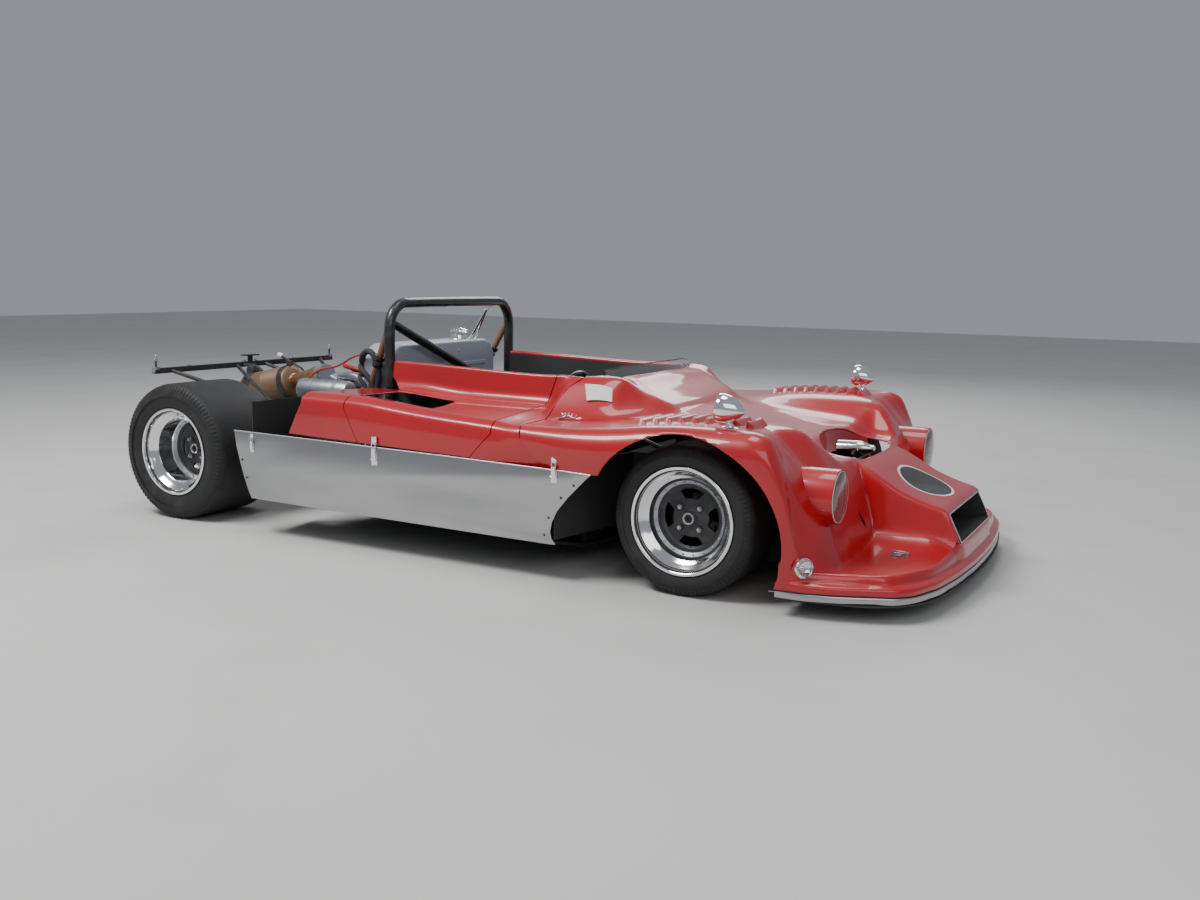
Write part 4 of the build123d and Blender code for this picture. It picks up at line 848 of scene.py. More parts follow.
@dataclass
class FrontBody(Assembly):
    """The one-piece moulding of nose, front fenders and cowl."""

    shape: BodyShape = field(default_factory=BodyShape)
    rear: float = -574.0
    skirt_line: float = 390.0
    arch: Point = (18.0, 205.0, 345.0)
    wall: float = 5.0
    rim_y: float = 428.0
    seam: Curve = curve(
        (0, 0), (420, 14), (450, 10), (500, -30), (560, -46), (680, -32), (800, -24), (900, -24),
    )

    def stations(self) -> tuple[list[float], list[float], list[float]]:
        """Returns the rows along x, the columns across y and the angles over the shoulder."""
        rows = (
            spaced(self.rear, -60, 12) + spaced(-60, 340, 12) + spaced(340, 520, 5) + spaced(520, 640, 8)
            + [640.0, 648.0, 653.0, 657.0]
        )
        columns = (
            spaced(0, 240, 16) + spaced(240, 262, 5) + spaced(262, 290, 2.2) + spaced(290, 340, 6)
            + spaced(340, 800, 9.5) + [800.0]
        )
        return rows, columns, [math.radians(10 * i) for i in range(1, 10)]

    def half(self) -> Array:
        """Returns the places of the left half: rows from the rear, columns from the middle outwards."""
        shape = self.shape
        rows, columns, angles = self.stations()
        x = np.array(rows)[:, None]
        outer = shape.outer(x)
        radius = shape.shoulder(x)
        edge = outer - radius
        nominal = np.array(columns)[None, :]
        y = np.where(nominal <= 340, nominal, 340 + (nominal - 340) * (edge - 340) / 460)
        front = shape.front_edge(y)
        pull = np.clip((x - 505) / 152, 0, 1)
        xx = x + (front - 657) * pull
        z = shape.height(xx, y)
        rearmost = ease((-400 - x) / 160)
        top = np.stack([xx + self.seam(y) * rearmost, y, z], axis=2)
        last = top[:, -1:, :]
        side = []
        for a in angles:
            bend = [20 * rearmost * math.sin(a), radius * math.sin(a), -radius * (1 - math.cos(a))]
            side.append(last + np.concatenate(bend, axis=1)[:, None, :])
        end_x, shoulder_z = side[-1][:, 0, 0], side[-1][:, 0, 2]
        along = x[:, 0]
        skirt = self.skirt_line
        low = np.interp(along, [-600, 240, 300, 345, 385, 430, 660], [skirt, skirt, 120, 92, 108, 118, 122])
        low = np.minimum(low, shoulder_z - 1)
        behind = 22 * ease((-40 - along) / 200)
        ahead = 10 * ease((along + 40) / 100) * ease((330 - along) / 60)
        for t in np.arange(1, 15) / 14:
            drop = (low - shoulder_z) * t
            tuck = ease(-drop / 130) * behind + ease(-drop / 200) * ahead
            line = [end_x + 70 * t * rearmost[:, 0], outer[:, 0] - tuck, shoulder_z + drop]
            side.append(np.stack(line, axis=1)[:, None, :])
        return np.concatenate([top] + side, axis=1)

    def opening(self) -> Pairs:
        """Returns the cockpit opening's outline in plan."""
        half = [(cowl_line(y), y) for y in range(0, 400, 20)]
        half += [(-512, 405), (-530, 418), (-550, 426), *((x, self.rim_y) for x in (-575, -640, -700))]
        return [(x, -y) for x, y in half[::-1]] + half[1:]

    def vent_outline(self) -> Pairs:
        """Returns the outline of the opening behind the nose, in plan."""
        half = [(424, 0), (424, 100), (422, 170), (414, 215), (398, 238), (374, 248), (348, 248), (320, 240)]
        half += [(294, 222), (270, 190), (250, 148), (237, 100), (229, 50), (226, 0)]
        return half + [(x, -y) for x, y in half[-2:0:-1]]

    def vent_wall(self) -> Piece:
        """Returns the wall that drops from the opening's rear edge."""
        line = self.vent_outline()[7:-6]
        rows = []
        for drop, lean in ((1, -2), (22, 2), (48, 8), (70, 18), (78, 30)):
            rows.append([(x + lean, y * 0.995, self.shape.at(x - 3, y) - drop) for x, y in line])
        return skin("vent_wall", np.array(rows), 2.0, 60)

    def small_tools(self) -> list[Piece]:
        """Returns the tools of the slots under the louvres and of the slot in each nose side."""
        tools = []
        for side in (-1, 1):
            slots = []
            for i in range(9):
                low, high = sorted((side * 574, side * (726 - 5 * i)))
                x = -188 + 46 * i
                slots.append(block("slot_tool", (x, low, 480), (x + 16, high, 640), 0))
            tools.append(join("slots_tool", slots))
            oval = []
            for c, s in around(24):
                long, wide = 32 * c, 9 * s
                oval.append((side * (352 - 0.526 * long + 0.851 * wide), 239 - 0.851 * long - 0.526 * wide))
            tools.append(plate("oval_tool", oval, 430, 520, Axis.X, 0))
        return tools

    def panel(self) -> Piece:
        """Returns the moulding with its openings cut."""
        left = self.half()
        right = left[:, :0:-1, :] * np.array((1.0, -1.0, 1.0))
        body = skin("front_body_shell", np.concatenate([right, left], axis=1)[::-1], self.wall, 50)
        x, z, radius = self.arch
        bar = solid(0, 440, radius)
        tools = [turned("arch_tool", bar, (x, y, z), steps=128) for y in (-1000, 560)]
        tools.append(plate("cockpit_tool", self.opening(), 400, 900, Axis.Z, 0))
        tools.append(plate("vent_tool", self.vent_outline(), 340, 520, Axis.Z, 0))
        inlet = [(700, 176), (860, 176), (860, 272), (700, 272)]
        tools.append(plate("inlet_tool", inlet, -252, 252, Axis.Y, 0))
        for y in (-616, 616):
            tools.append(turned("lamp_tool", solid(0, 300, 80), (300, y, 360), AHEAD, 64))
        return cut(body, *tools, *self.small_tools())

    def rim_bead(self) -> Piece:
        """Returns the rolled edge round the front of the cockpit opening."""
        points = [(x + 2, y, self.shape.at(x, abs(y) + 3) - 4) for x, y in self.opening()[3:-3]]
        return pipe("cockpit_rim_bead", points, 5.5, bends=3)

    def build(self) -> None:
        """Builds the moulding."""
        self.dress(self.panel(), RED, "front_body")
        self.dress(self.rim_bead(), RED)
        self.dress(self.vent_wall(), RED)


@dataclass
class SplitterLip(Assembly):
    """The red ledge round the nose with the ridged metal strip under it."""

    shape: BodyShape = field(default_factory=BodyShape)
    deck_edge: Pairs = (
        (790, 0), (789, 120), (788, 240), (778, 272), (770, 300), (764, 370), (757, 450), (748, 524),
        (713, 602), (686, 655), (657, 697), (625, 721), (570, 738), (534, 751), (491, 763), (440, 788),
        (400, 808), (352, 822),
    )
    lip_edge: Pairs = (
        (822, 0), (821, 60), (820, 123), (814, 233), (812, 262), (808, 320), (801, 390), (794, 440),
        (780, 533), (764, 587), (731, 672), (685, 722), (633, 746), (581, 770), (510, 798), (460, 812),
        (424, 821), (342, 824),
    )

    def trail(self, steps: int = 90) -> tuple[Array, Array]:
        """Gives matching points along the deck's edge and the lip's edge, right side to left.

        Args:
            steps: points from the middle to one end.

        Returns:
            Two rows of x, y pairs.
        """
        inner = np.array(self.deck_edge, dtype=float)
        outer = np.array(self.lip_edge, dtype=float)
        run = np.concatenate([[0], np.cumsum(np.hypot(*np.diff(outer, axis=0).T))])
        t = np.linspace(0, run[-1], steps)
        pair = []
        for line in (inner, outer):
            pair.append(np.stack([Curve(*zip(run, line[:, i]))(t) for i in (0, 1)], axis=1))
        return tuple(np.concatenate([line[:0:-1] * (1, -1), line]) for line in pair)

    def band(self, profile: Pairs) -> Array:
        """Gives the places of a band swept round the nose.

        Args:
            profile: pairs of the share of the way from deck edge to lip edge and the height.

        Returns:
            The places for a panel.
        """
        inner, outer = self.trail()
        columns = []
        for share, z in profile:
            raised = np.full(len(inner), z)
            if share <= 0.2:
                edge = self.shape.height(inner[:, 0] - 2, inner[:, 1]) - self.shape.deck
                raised = raised + np.clip(edge, 0, 34) * (1 - share * 2)
            columns.append(np.column_stack([inner + (outer - inner) * share, raised]))
        return np.stack(columns, axis=1)[:, ::-1]

    def build(self) -> None:
        """Builds the ledge and the strip."""
        ledge = [
            (-0.06, 138.6), (0.0, 139), (0.10, 137.6), (0.18, 134), (0.24, 128), (0.30, 121), (0.36, 117),
            (0.44, 115.6), (0.88, 109), (0.95, 107.5), (0.99, 104.5), (1.0, 101), (1.0, 92.5),
            (0.985, 91.2), (0.94, 91), (0.70, 91),
        ]
        self.dress(skin("nose_lip", self.band(ledge), 4, 50), RED)
        # A black band in the recess under the ledge: painted shadow where the splitter's support sits back
        # in shade.
        gap = [(0.2, 100), (0.9, 100), (0.9, 72), (0.2, 72)]
        self.dress(skin("lip_gap_shadow", self.band(gap)), BLACK_PANEL)
        strip = [(0.5, 82), (0.99, 82), (1.03, 80), (1.03, 66), (0.99, 64), (0.5, 64)]
        metal = [skin("splitter_strip", self.band(strip), 1.5)]
        for side in (-1, 1):
            outline = [(x, side * y) for x, y in ((318, 722), (322, 826), (354, 820), (372, 742))]
            metal.append(plate("corner", outline, 78, 81, Axis.Z, 0.6))
        self.dress(join("splitter_metal", metal), ALUMINIUM)


def resample(parts: Sequence[tuple[Sequence[Point], int]]) -> Array:
    """Gives points spread evenly along each of several joined lines.

    Args:
        parts: each line's points and how many points it gives, its end left to the next line.

    Returns:
        The points, one to a row.
    """
    out = []
    for points, count in parts:
        line = np.array(points, dtype=float)
        run = np.concatenate([[0], np.cumsum(np.linalg.norm(np.diff(line, axis=0), axis=1))])
        t = np.linspace(0, run[-1], count + 1)[:-1]
        out.append(np.stack([np.interp(t, run, line[:, i]) for i in range(line.shape[1])], axis=1))
    out.append(np.array([parts[-1][0][-1]], dtype=float))
    return np.concatenate(out)


def arc(centre: tuple[float, float], radius: float, start: float, end: float, count: int = 8) -> list:
    """Returns points on an arc between two angles in degrees."""
    angles = np.radians(np.linspace(start, end, count))
    return [(centre[0] + radius * math.cos(a), centre[1] + radius * math.sin(a)) for a in angles]


@dataclass
class SidePanels(Assembly):
    """The cockpit walls with the side pods, the joint strips ahead and the quarters behind."""

    shape: BodyShape = field(default_factory=BodyShape)
    counts: tuple[int, ...] = (8, 10, 8, 12, 10, 10)
    wall: float = 4.0
    gap: float = 2.0
    rim: Curve = curve(
        (-1640, 640), (-1500, 680), (-1428, 688), (-1100, 680), (-756, 671), (-685, 673), (-564, 682),
    )
    foot: Curve = curve(
        (-1640, 584), (-1449, 577), (-1335, 577), (-1072, 560), (-714, 558), (-619, 546), (-560, 540),
    )
    ledge: Curve = curve(
        (-1640, 580), (-1560, 580), (-1360, 579), (-1006, 552), (-701, 535), (-574, 529),
    )
    low: Curve = curve((-1640, 421), (-1296, 414), (-793, 403), (-504, 395))
    seam_c: tuple[float, ...] = (-562, -562, -606, -622, -601, -577, -506)
    seam_b: tuple[float, ...] = (-681, -681, -700, -716, -708, -702, -793)
    seam_a: tuple[float, ...] = (-1452, -1452, -1452, -1380, -1362, -1360, -1296)
    rear: tuple[float, ...] = (-1452, -1452, -1452, -1500, -1570, -1572, -1636)

    def pod_section(self, x: float) -> list:
        """Gives the pod's section at x as six lines of y, z pairs from the rim outwards.

        Args:
            x: place along the car.

        Returns:
            The lines.
        """
        rim, foot, ledge, low = (float(c(x)) for c in (self.rim, self.foot, self.ledge, self.low))
        top = [(424, rim - 40), (424, rim - 9)] + arc((433, rim - 9), 9, 180, 0, 9)[1:]
        wall = [(442, rim - 9), (448, foot + 48)]
        fillet = arc((496, foot + 48), 48, 180, 270, 9)
        flat = [(496, foot), (790, ledge + 3)]
        edge = [(790, ledge + 3), (812, ledge + 2), (820, ledge - 1), (838, ledge - 12), (845, ledge - 18)]
        edge += [(849, ledge - 26), (852, ledge - 40)]
        side = [(852, ledge - 40), (855, (ledge + low) / 2), (852, low)]
        return [top, wall, fillet, flat, edge, side]

    def fender_section(self, x: float) -> list:
        """Gives the front moulding's section at x in the same six lines.

        Args:
            x: place along the car.

        Returns:
            The lines.
        """
        rim = self.shape.at(x, 440.0)
        outer, radius = float(self.shape.outer(x)), float(self.shape.shoulder(x))
        edge_y = outer - radius

        def run(a: float, b: float, count: int = 12) -> list:
            """Returns places of the moulding's top across from a to b."""
            return [(y, self.shape.at(x, y)) for y in np.linspace(a, b, count)]

        top = [(428, rim - 40), (428, rim - 6), (430, rim - 1), (436, rim), (440, rim)]
        bend = arc((edge_y, self.shape.at(x, edge_y) - radius), radius, 90, 0, 9)
        high = bend[-1][1]
        drops = np.linspace(0, high - float(self.low(x)), 8)
        side = [(outer - 22 * float(ease(drop / 130)), high - drop) for drop in drops]
        last = run(edge_y - 14, edge_y) + bend[1:]
        return [top, run(440, 500), run(500, 570), run(570, edge_y - 14), last, side]

    def places(self, section: list) -> Array:
        """Returns a section's points, the same number for every section."""
        return resample(list(zip(section, self.counts)))

    def seam(self, marks: Sequence[float]) -> Array:
        """Gives a seam's x at each point of a section from its x at the seven ends of the lines.

        Args:
            marks: the seam's x at the seven ends.

        Returns:
            The x of each point.
        """
        out = []
        for a, b, count in zip(marks, marks[1:], self.counts):
            out += list(np.linspace(a, b, count, endpoint=False))
        return np.array(out + [marks[-1]])

    def panel(self, name: str, start: Sequence[float], end: Sequence[float], ramp: bool = False) -> Piece:
        """Builds one panel between two seams.

        Args:
            name: the piece's name.
            start: the front seam's x at the seven ends of the section's lines.
            end: the rear seam's x at the same places.
            ramp: whether the section changes from the front moulding's.

        Returns:
            The panel.
        """
        ahead, behind = self.seam(start), self.seam(end)
        count = max(6, round(float(np.max(ahead - behind)) / 14))
        rows = []
        for i in range(count + 1):
            t = i / count
            xs = ahead + (behind - ahead) * t
            grid = {round(v, 1): self.places(self.pod_section(v)) for v in set(np.round(xs, 1))}
            line = np.array([grid[round(v, 1)][j] for j, v in enumerate(np.round(xs, 1))])
            if ramp:
                share = float(ease(t))
                line = line * share + self.places(self.fender_section(-574.0)) * (1 - share)
            rows.append(np.column_stack([xs, line]))
        return skin(name, np.array(rows), self.wall, 50)

    def build(self) -> None:
        """Builds both sides' panels."""
        ends = {
            seam: ([v - self.gap for v in seam], [v + self.gap for v in seam])
            for seam in (self.seam_a, self.seam_b, self.seam_c)
        }
        strip = self.panel("joint_strip_left", ends[self.seam_c][0], ends[self.seam_b][1], True)
        pod = self.panel("side_pod_left", ends[self.seam_b][0], ends[self.seam_a][1])
        duct = [
            (-1335, 545), (-1341, 768), (-1220, 772), (-1006, 782), (-1012, 700), (-1040, 600), (-1072, 552),
        ]
        cut(pod, plate("duct_tool", duct, 480, 640, Axis.Z, 0))
        quarter = self.quarter("rear_quarter_left", ends[self.seam_a][0])
        for piece, node in ((strip, "joint_strips"), (pod, "side_pods"), (quarter, "rear_quarters")):
            self.both(piece, RED, node, node)

    def quarter(self, name: str, start: Sequence[float]) -> Piece:
        """Builds the short panel behind the pod: flat top and side only.

        Args:
            name: the piece's name.
            start: the front seam's x at the seven ends of the lines.

        Returns:
            The panel.
        """
        ahead, behind = self.seam(start), self.seam(self.rear)
        first = sum(self.counts[:3])
        rows = []
        for i in range(15):
            xs = ahead + (behind - ahead) * i / 14
            line = np.array([self.places(self.pod_section(v))[j] for j, v in enumerate(xs)])
            rows.append(np.column_stack([xs, line])[first:])
        return skin(name, np.array(rows), self.wall, 50)


@dataclass
class Skirts(Assembly):
    """The bare metal side skirts with their rivets and toggle latches."""

    face_y: float = 858.0
    sheet: float = 2.0
    outline: Pairs = (
        (-1918, 411), (-1500, 407), (-900, 400), (-400, 392), (-300, 388), (-318, 372), (-345, 345),
        (-387, 302), (-427, 253), (-447, 212), (-453, 180), (-447, 155), (-430, 137), (-457, 135),
        (-900, 138), (-1400, 142), (-1834, 146), (-1851, 178), (-1873, 233), (-1892, 292), (-1909, 351),
    )
    front_rivets: Pairs = ((-363, 348), (-412, 301), (-460, 227), (-476, 166))
    rear_rivets: Pairs = ((-1879, 297), (-1857, 227))
    latches: tuple[Point, ...] = ((-1822, 366, 1.0), (-1210, 386, 1.45), (-440, 392, 1.25))

    def rivets(self) -> Piece:
        """Returns the rows of domed rivets on the left."""
        dome = [(0, 0), (0, 5.0), (1.2, 4.6), (2.2, 3.0), (2.6, 0)]
        one = turned("rivet", dome, (0, self.face_y + 0.8, 0), LEFT, 12)
        spots = [*self.front_rivets, *self.rear_rivets]
        return repeat(one, "skirt_rivets_left", [shift(x, 0, z) for x, z in spots])

    def latch(self) -> Piece:
        """Returns one toggle latch: base plate, lever, hook and pins."""
        y = self.face_y
        loop = [(-6, y + 6, 4), (-6, y + 6, 27), (6, y + 6, 27), (6, y + 6, 4)]
        screw = [(0, 0), (0, 3), (1.5, 2), (1.5, 0)]
        return join("latch", [
            block("latch_base", (-9, y + 1, -34), (9, y + 3, 2), 1),
            block("latch_lever", (-7, y + 3, -24), (7, y + 9, 12), 2),
            block("latch_hook", (-8, y + 1, 20), (8, y + 4, 40), 1),
            pipe("latch_loop", loop, 1.6, smooth=False),
            turned("latch_pin", solid(-10, 10, 2.5), (0, y + 5, -18), AHEAD, 12),
            turned("latch_screw", screw, (0, y + 3, -29), LEFT, 10),
        ])

    def build(self) -> None:
        """Builds both skirts."""
        y, half = self.face_y, self.sheet / 2
        skirt = plate("side_skirt_left", self.outline, y - half, y + half)
        origin = place(0, 0, 0)
        moves = [
            shift(x, 0, z) @ Matrix.Translation(origin) @ Matrix.Diagonal((size, 1, size, 1))
            @ Matrix.Translation(-origin) for x, z, size in self.latches
        ]
        latches = repeat(self.latch(), "skirt_latches_left", moves)
        # The folded top edge is real; its plain aluminium, lighter than the brushed sheet, is a painted
        # highlight along the edge.
        line = [(x, y + 0.6, z + 0.4) for x, z in self.outline[:5]]
        fold_highlight = pipe("skirt_fold_left", line, 2.4, smooth=False, sides=2)
        rivets = self.rivets()
        self.both(skirt, ALUMINIUM, "side_skirts", "side_skirts")
        for piece, finish in ((rivets, DARK_ALLOY), (latches, CHROME), (fold_highlight, PLAIN_ALUMINIUM)):
            self.both(piece, finish, slot="bare_aluminium")


@dataclass
class Wheel(Assembly):
    """One road wheel of the left side with its slick tyre, and its twin on the right."""

    name: str = "front"
    x: float = 0.0
    radius: float = 254.0
    lip_y: float = 790.0
    inner_y: float = 522.0
    tread: float = 254.0
    hub_depth: float = 84.0
    step_finish: Finish = DARK_ALLOY

    def ring(self, name: str, pairs: Pairs, steps: int = 96) -> Piece:
        """Returns a ring from pairs of depth inwards of the lip and radius."""
        return turned(name, pairs, (self.x, self.lip_y, self.radius), (0, -1, 0), steps, 30)

    def spread(self, count: int, start: float, radius: float, depth: float) -> list[Matrix]:
        """Gives moves to places round the wheel's middle, at a radius and a depth inwards of the lip.

        Args:
            count: number of places.
            start: angle of the first in degrees.
            radius: distance from the wheel's middle.
            depth: distance inwards of the lip.

        Returns:
            The moves.
        """
        return [
            shift(self.x + radius * c, self.lip_y - depth, self.radius + radius * s)
            for c, s in around(count, start)
        ]

    def rim(self) -> Piece:
        """Returns the polished barrel with its stepped lip and its inner lip."""
        wide = self.lip_y - self.inner_y
        return self.ring(f"rim_{self.name}_left", [
            (5, 183), (1.5, 182.4), (0, 180.5), (0, 173), (1.5, 171.2), (5, 170.2), (9, 169.6), (10.5, 167),
            (13, 165.4), (20, 164.6), (22.5, 162.6), (25, 159.6), (33, 153), (40, 145), (44, 139.5),
            (46.5, 137), (49, 137), (53, 142), (58, 149), (66, 154), (90, 156), (wide - 24, 156),
            (wide - 12, 160), (wide - 4, 168), (wide - 1, 176), (wide, 181), (wide - 2, 183),
            (wide - 7, 182), (wide - 10, 166), (wide - 30, 163), (80, 163), (56, 158), (44, 158), (36, 165),
            (10, 165.2), (8, 181.5), (5, 183)])

    def dark_step(self) -> Piece:
        """Returns the black stepped part of the dish behind the polished barrel."""
        d = self.hub_depth - 84
        return self.ring(f"rim_step_{self.name}_left", [
            (45.5, 138.2), (48, 136.2), (56 + d, 133.6), (61 + d, 131.4), (62.5 + d, 128.6),
            (66 + d, 128.2), (72 + d, 132), (66 + d, 138), (50, 142), (45.5, 138.2)])

    def bolted_ring(self) -> Piece:
        """Returns the bright inner ring with its bolts."""
        d = self.hub_depth
        ring = self.ring("bolted_ring", [
            (d - 20, 129), (d - 19, 127.6), (d - 15, 119), (d - 13, 116.5), (d - 4, 115), (d + 2, 115),
            (d + 2, 118), (d - 10, 124), (d - 16, 129), (d - 20, 129)])
        profile = [(0, 0), (0, 3.4), (3, 3.4), (4.2, 2.0), (4.2, 0)]
        head = turned("ring_bolt", profile, (0, 0, 0), LEFT, 10)
        bolts = repeat(head, "ring_bolts", self.spread(20, 9, 122.5, d - 16.5))
        return join(f"rim_ring_{self.name}_left", [ring, bolts])

    def centre(self) -> Piece:
        """Returns the four-spoke centre with its windows."""
        d = self.hub_depth
        disc = self.ring(f"rim_centre_{self.name}_left", [
            (d - 8, 0), (d - 8, 26), (d - 5, 30), (d - 3, 62), (d + 1, 70), (d + 3, 98), (d - 2, 106),
            (d - 2, 116), (d + 14, 116), (d + 14, 98), (d + 12, 66), (d + 22, 58), (d + 22, 0)], 64)
        low = self.lip_y - d - 60
        tools = []
        for quarter in range(4):
            outline = []
            for radius, reach in ((98, 27), (66, -21)):
                for share in (-1, -0.5, 0, 0.5, 1):
                    a = math.radians(90 * quarter + reach * share)
                    outline.append((self.x + radius * math.cos(a), self.radius + radius * math.sin(a)))
            tools.append(plate("window_tool", outline, low, low + 90, Axis.Y, 6, 3))
        return cut(disc, *tools)

    def nuts(self) -> Piece:
        """Returns the four wheel nuts on their studs."""
        profile = [(0, 0), (0, 9.6), (9, 9.6), (12, 8.2), (12, 5.2), (18, 5.2), (19, 4), (19, 0)]
        one = turned("wheel_nut", profile, (0, 0, 0), LEFT, 6, 20)
        return repeat(one, f"wheel_nuts_{self.name}_left", self.spread(4, 45, 50, self.hub_depth - 5))

    def cap(self) -> Piece:
        """Returns the hollow hub end."""
        d = self.hub_depth
        return self.ring(f"hub_end_{self.name}_left", [
            (d - 8, 21), (d - 24, 21), (d - 26, 19.5), (d - 26, 16), (d - 24, 14), (d - 2, 13),
            (d - 2, 0)], 40)

    def tyre(self) -> Piece:
        """Returns the slick with its round shoulders, its bead and the ridges on its shoulders."""
        r, half = self.radius, self.tread / 2
        mid = (self.lip_y + self.inner_y) / 2
        lip = self.lip_y - mid
        side = [
            (lip - 9, 166), (lip - 8.5, 184), (lip - 5, 186.5), (lip - 2, 190), (half + 5, r * 0.5 + 96),
            (half + 8.6, (r + 183) / 2), (half + 7.5, r - 40), (half + 3.5, r - 26), (half - 2, r - 16),
            (half - 9, r - 8.5), (half - 19, r - 3.4), (half - 32, r - 0.6),
        ]
        profile = [(-a, b) for a, b in side] + [(0, r)] + side[::-1] + [(lip - 9, 166), (9 - lip, 166)]
        pieces = [turned("tyre", profile, (self.x, mid, r), LEFT, 128, 60)]
        count = 96
        turns = [Matrix.Rotation(2 * math.pi * i / count, 4, "Y") for i in range(count)]
        centre, origin = Matrix.Translation(place(self.x, 0, r)), Matrix.Translation(-place(0, 0, 0))
        ridge = [(half + 6.0, r - 36), (half + 2.2, r - 24), (half - 3, r - 14.5), (half - 10, r - 7)]
        for way in (1, -1):
            points = [(0, mid + way * a, b) for a, b in ridge]
            one = pipe("ridge", points, 2.4, (1.0, 2.4, 2.4, 1.0), sides=1, bends=3)
            pieces.append(repeat(one, "ridges", [centre @ turn @ origin for turn in turns]))
        return join(f"tyre_{self.name}_left", pieces)

    def build(self) -> None:
        """Builds the wheel and tyre on both sides."""
        parts = (
            (self.tyre(), RUBBER, "tyre", f"tyre_{self.name}_"),
            (self.rim(), POLISHED, "polished", f"rim_{self.name}_"),
            (self.dark_step(), self.step_finish, "polished", ""),
            (self.bolted_ring(), STEEL, "polished", ""),
            (self.centre(), DARK_ALLOY, "polished", ""),
            (self.nuts(), STEEL, "polished", ""),
            (self.cap(), STEEL, "polished", ""),
        )
        for piece, finish, slot, node in parts:
            twin = other_side(piece)
            for item, side in ((piece, "left"), (twin, "right")):
                self.dress(item, finish, node and node + side, slot, f"wheel_{self.name}_{side}")


@dataclass
class Lamps(Assembly):
    """The headlamp tubes with their clear covers and the round side lamps."""

    x: float = 474.0
    y: float = 616.0
    z: float = 360.0
    radius: float = 89.0
    side_lamp: Point = (428.0, 806.0, 162.0)

    def build(self) -> None:
        """Builds the lamps of both sides."""
        spot = (self.x, self.y, self.z)
        r = self.radius
        tube = turned("headlamp_tube_left", [
            (-138, r - 1), (-138, r - 5), (-6, r - 5), (-3, r - 5), (-1, r - 4), (0, r - 2.5),
            (-1, r - 0.6), (-4, r), (-138, r), (-138, r - 1)], spot, AHEAD, 72)
        rim = turned("headlamp_rim_left", [
            (-5, r - 5.2), (-5, r - 7), (1, r - 7), (1.6, r - 6.4), (1, r - 5.6),
            (-5, r - 5.2)], spot, AHEAD, 72)
        cover = turned("headlamp_cover_left", [
            (-2, r - 8), (2, r - 9), (7, r - 30), (9.5, r - 55), (10, 0), (8.4, 0), (7.9, r - 55),
            (5.4, r - 30), (0.4, r - 10), (-2, r - 10), (-2, r - 8)], spot, AHEAD, 64)
        bowl = turned("headlamp_bowl_left", [
            (-50, 58), (-52, 56), (-66, 48), (-82, 34), (-92, 18), (-94, 12), (-70, 11), (-66, 8), (-64, 0),
            (-98, 0), (-98, 20), (-86, 40), (-66, 54), (-52, 60), (-50, 58)], spot, AHEAD, 64)
        back = turned("headlamp_back_left", [
            (-58, 55), (-58, r - 4), (-61, r - 4), (-61, 55), (-58, 55)], spot, AHEAD, 64)
        small, way = self.side_lamp, (0.80, 0.58, 0.12)
        ring = turned("side_lamp_ring_left", [
            (-14, 26), (-14, 33), (-2, 33.5), (3, 32.5), (5, 30), (3, 28), (0, 27.5),
            (-14, 26)], small, way, 40)
        glass = turned("side_lamp_glass_left", [
            (1, 28), (6, 26), (10, 20), (12.4, 11), (13, 0), (11, 0), (10, 11), (7.6, 19), (4, 25),
            (-1, 27.4), (1, 28)], small, way, 40)
        dish = turned("side_lamp_dish_left", [
            (-1, 27), (-7, 22), (-11, 12), (-12, 5), (-2, 4), (0, 0), (-14, 0), (-13, 22), (-3, 27.4),
            (-1, 27)], small, way, 40)
        self.both(tube, RED)
        self.both(rim, WHITE)
        self.both(cover, CLEAR, "lamps")
        self.both(bowl, POLISHED)
        self.both(ring, CHROME)
        self.both(glass, CLEAR)
        self.both(back, RED)
        self.both(dish, POLISHED)


@dataclass
class Mirrors(Assembly):
    """The chrome bullet mirrors on their short feet."""

    back: Point = (110.0, 762.0, 636.0)
    radius: float = 47.0

    def build(self) -> None:
        """Builds both mirrors."""
        r, way = self.radius, (1, -0.04, -0.14)
        shell = turned("mirror_shell_left", [
            (3, 0), (3, r - 5), (-1, r - 4), (-2, r - 2), (0, r), (14, r), (32, r - 3), (50, r - 10),
            (66, r - 20), (78, r - 31), (86, r - 41), (90, 3), (91, 0)], self.back, way, 64, 50)
        glass = turned("mirror_glass_left", solid(2.2, 3.4, r - 5.5), self.back, way, 48)
        line = [(140, 762, 604), (143, 761, 590), (148, 760, 574)]
        foot = pipe("mirror_stalk_left", line, 9, (7, 9, 15))
        disc = [(0, 0), (0, 34), (3, 33), (6, 26), (8, 15), (8, 0)]
        base = turned("mirror_base_left", disc, (148, 760, 568), (0.05, 0.08, 1), 32)
        middle = place(148, 760, 0)
        narrow = Matrix.Translation(middle) @ Matrix.Diagonal((1, 0.45, 1, 1)) @ Matrix.Translation(-middle)
        base.data.transform(narrow)
        self.both(shell, CHROME, "mirrors")
        for piece, finish in ((glass, POLISHED), (foot, CHROME), (base, CHROME)):
            self.both(piece, finish)


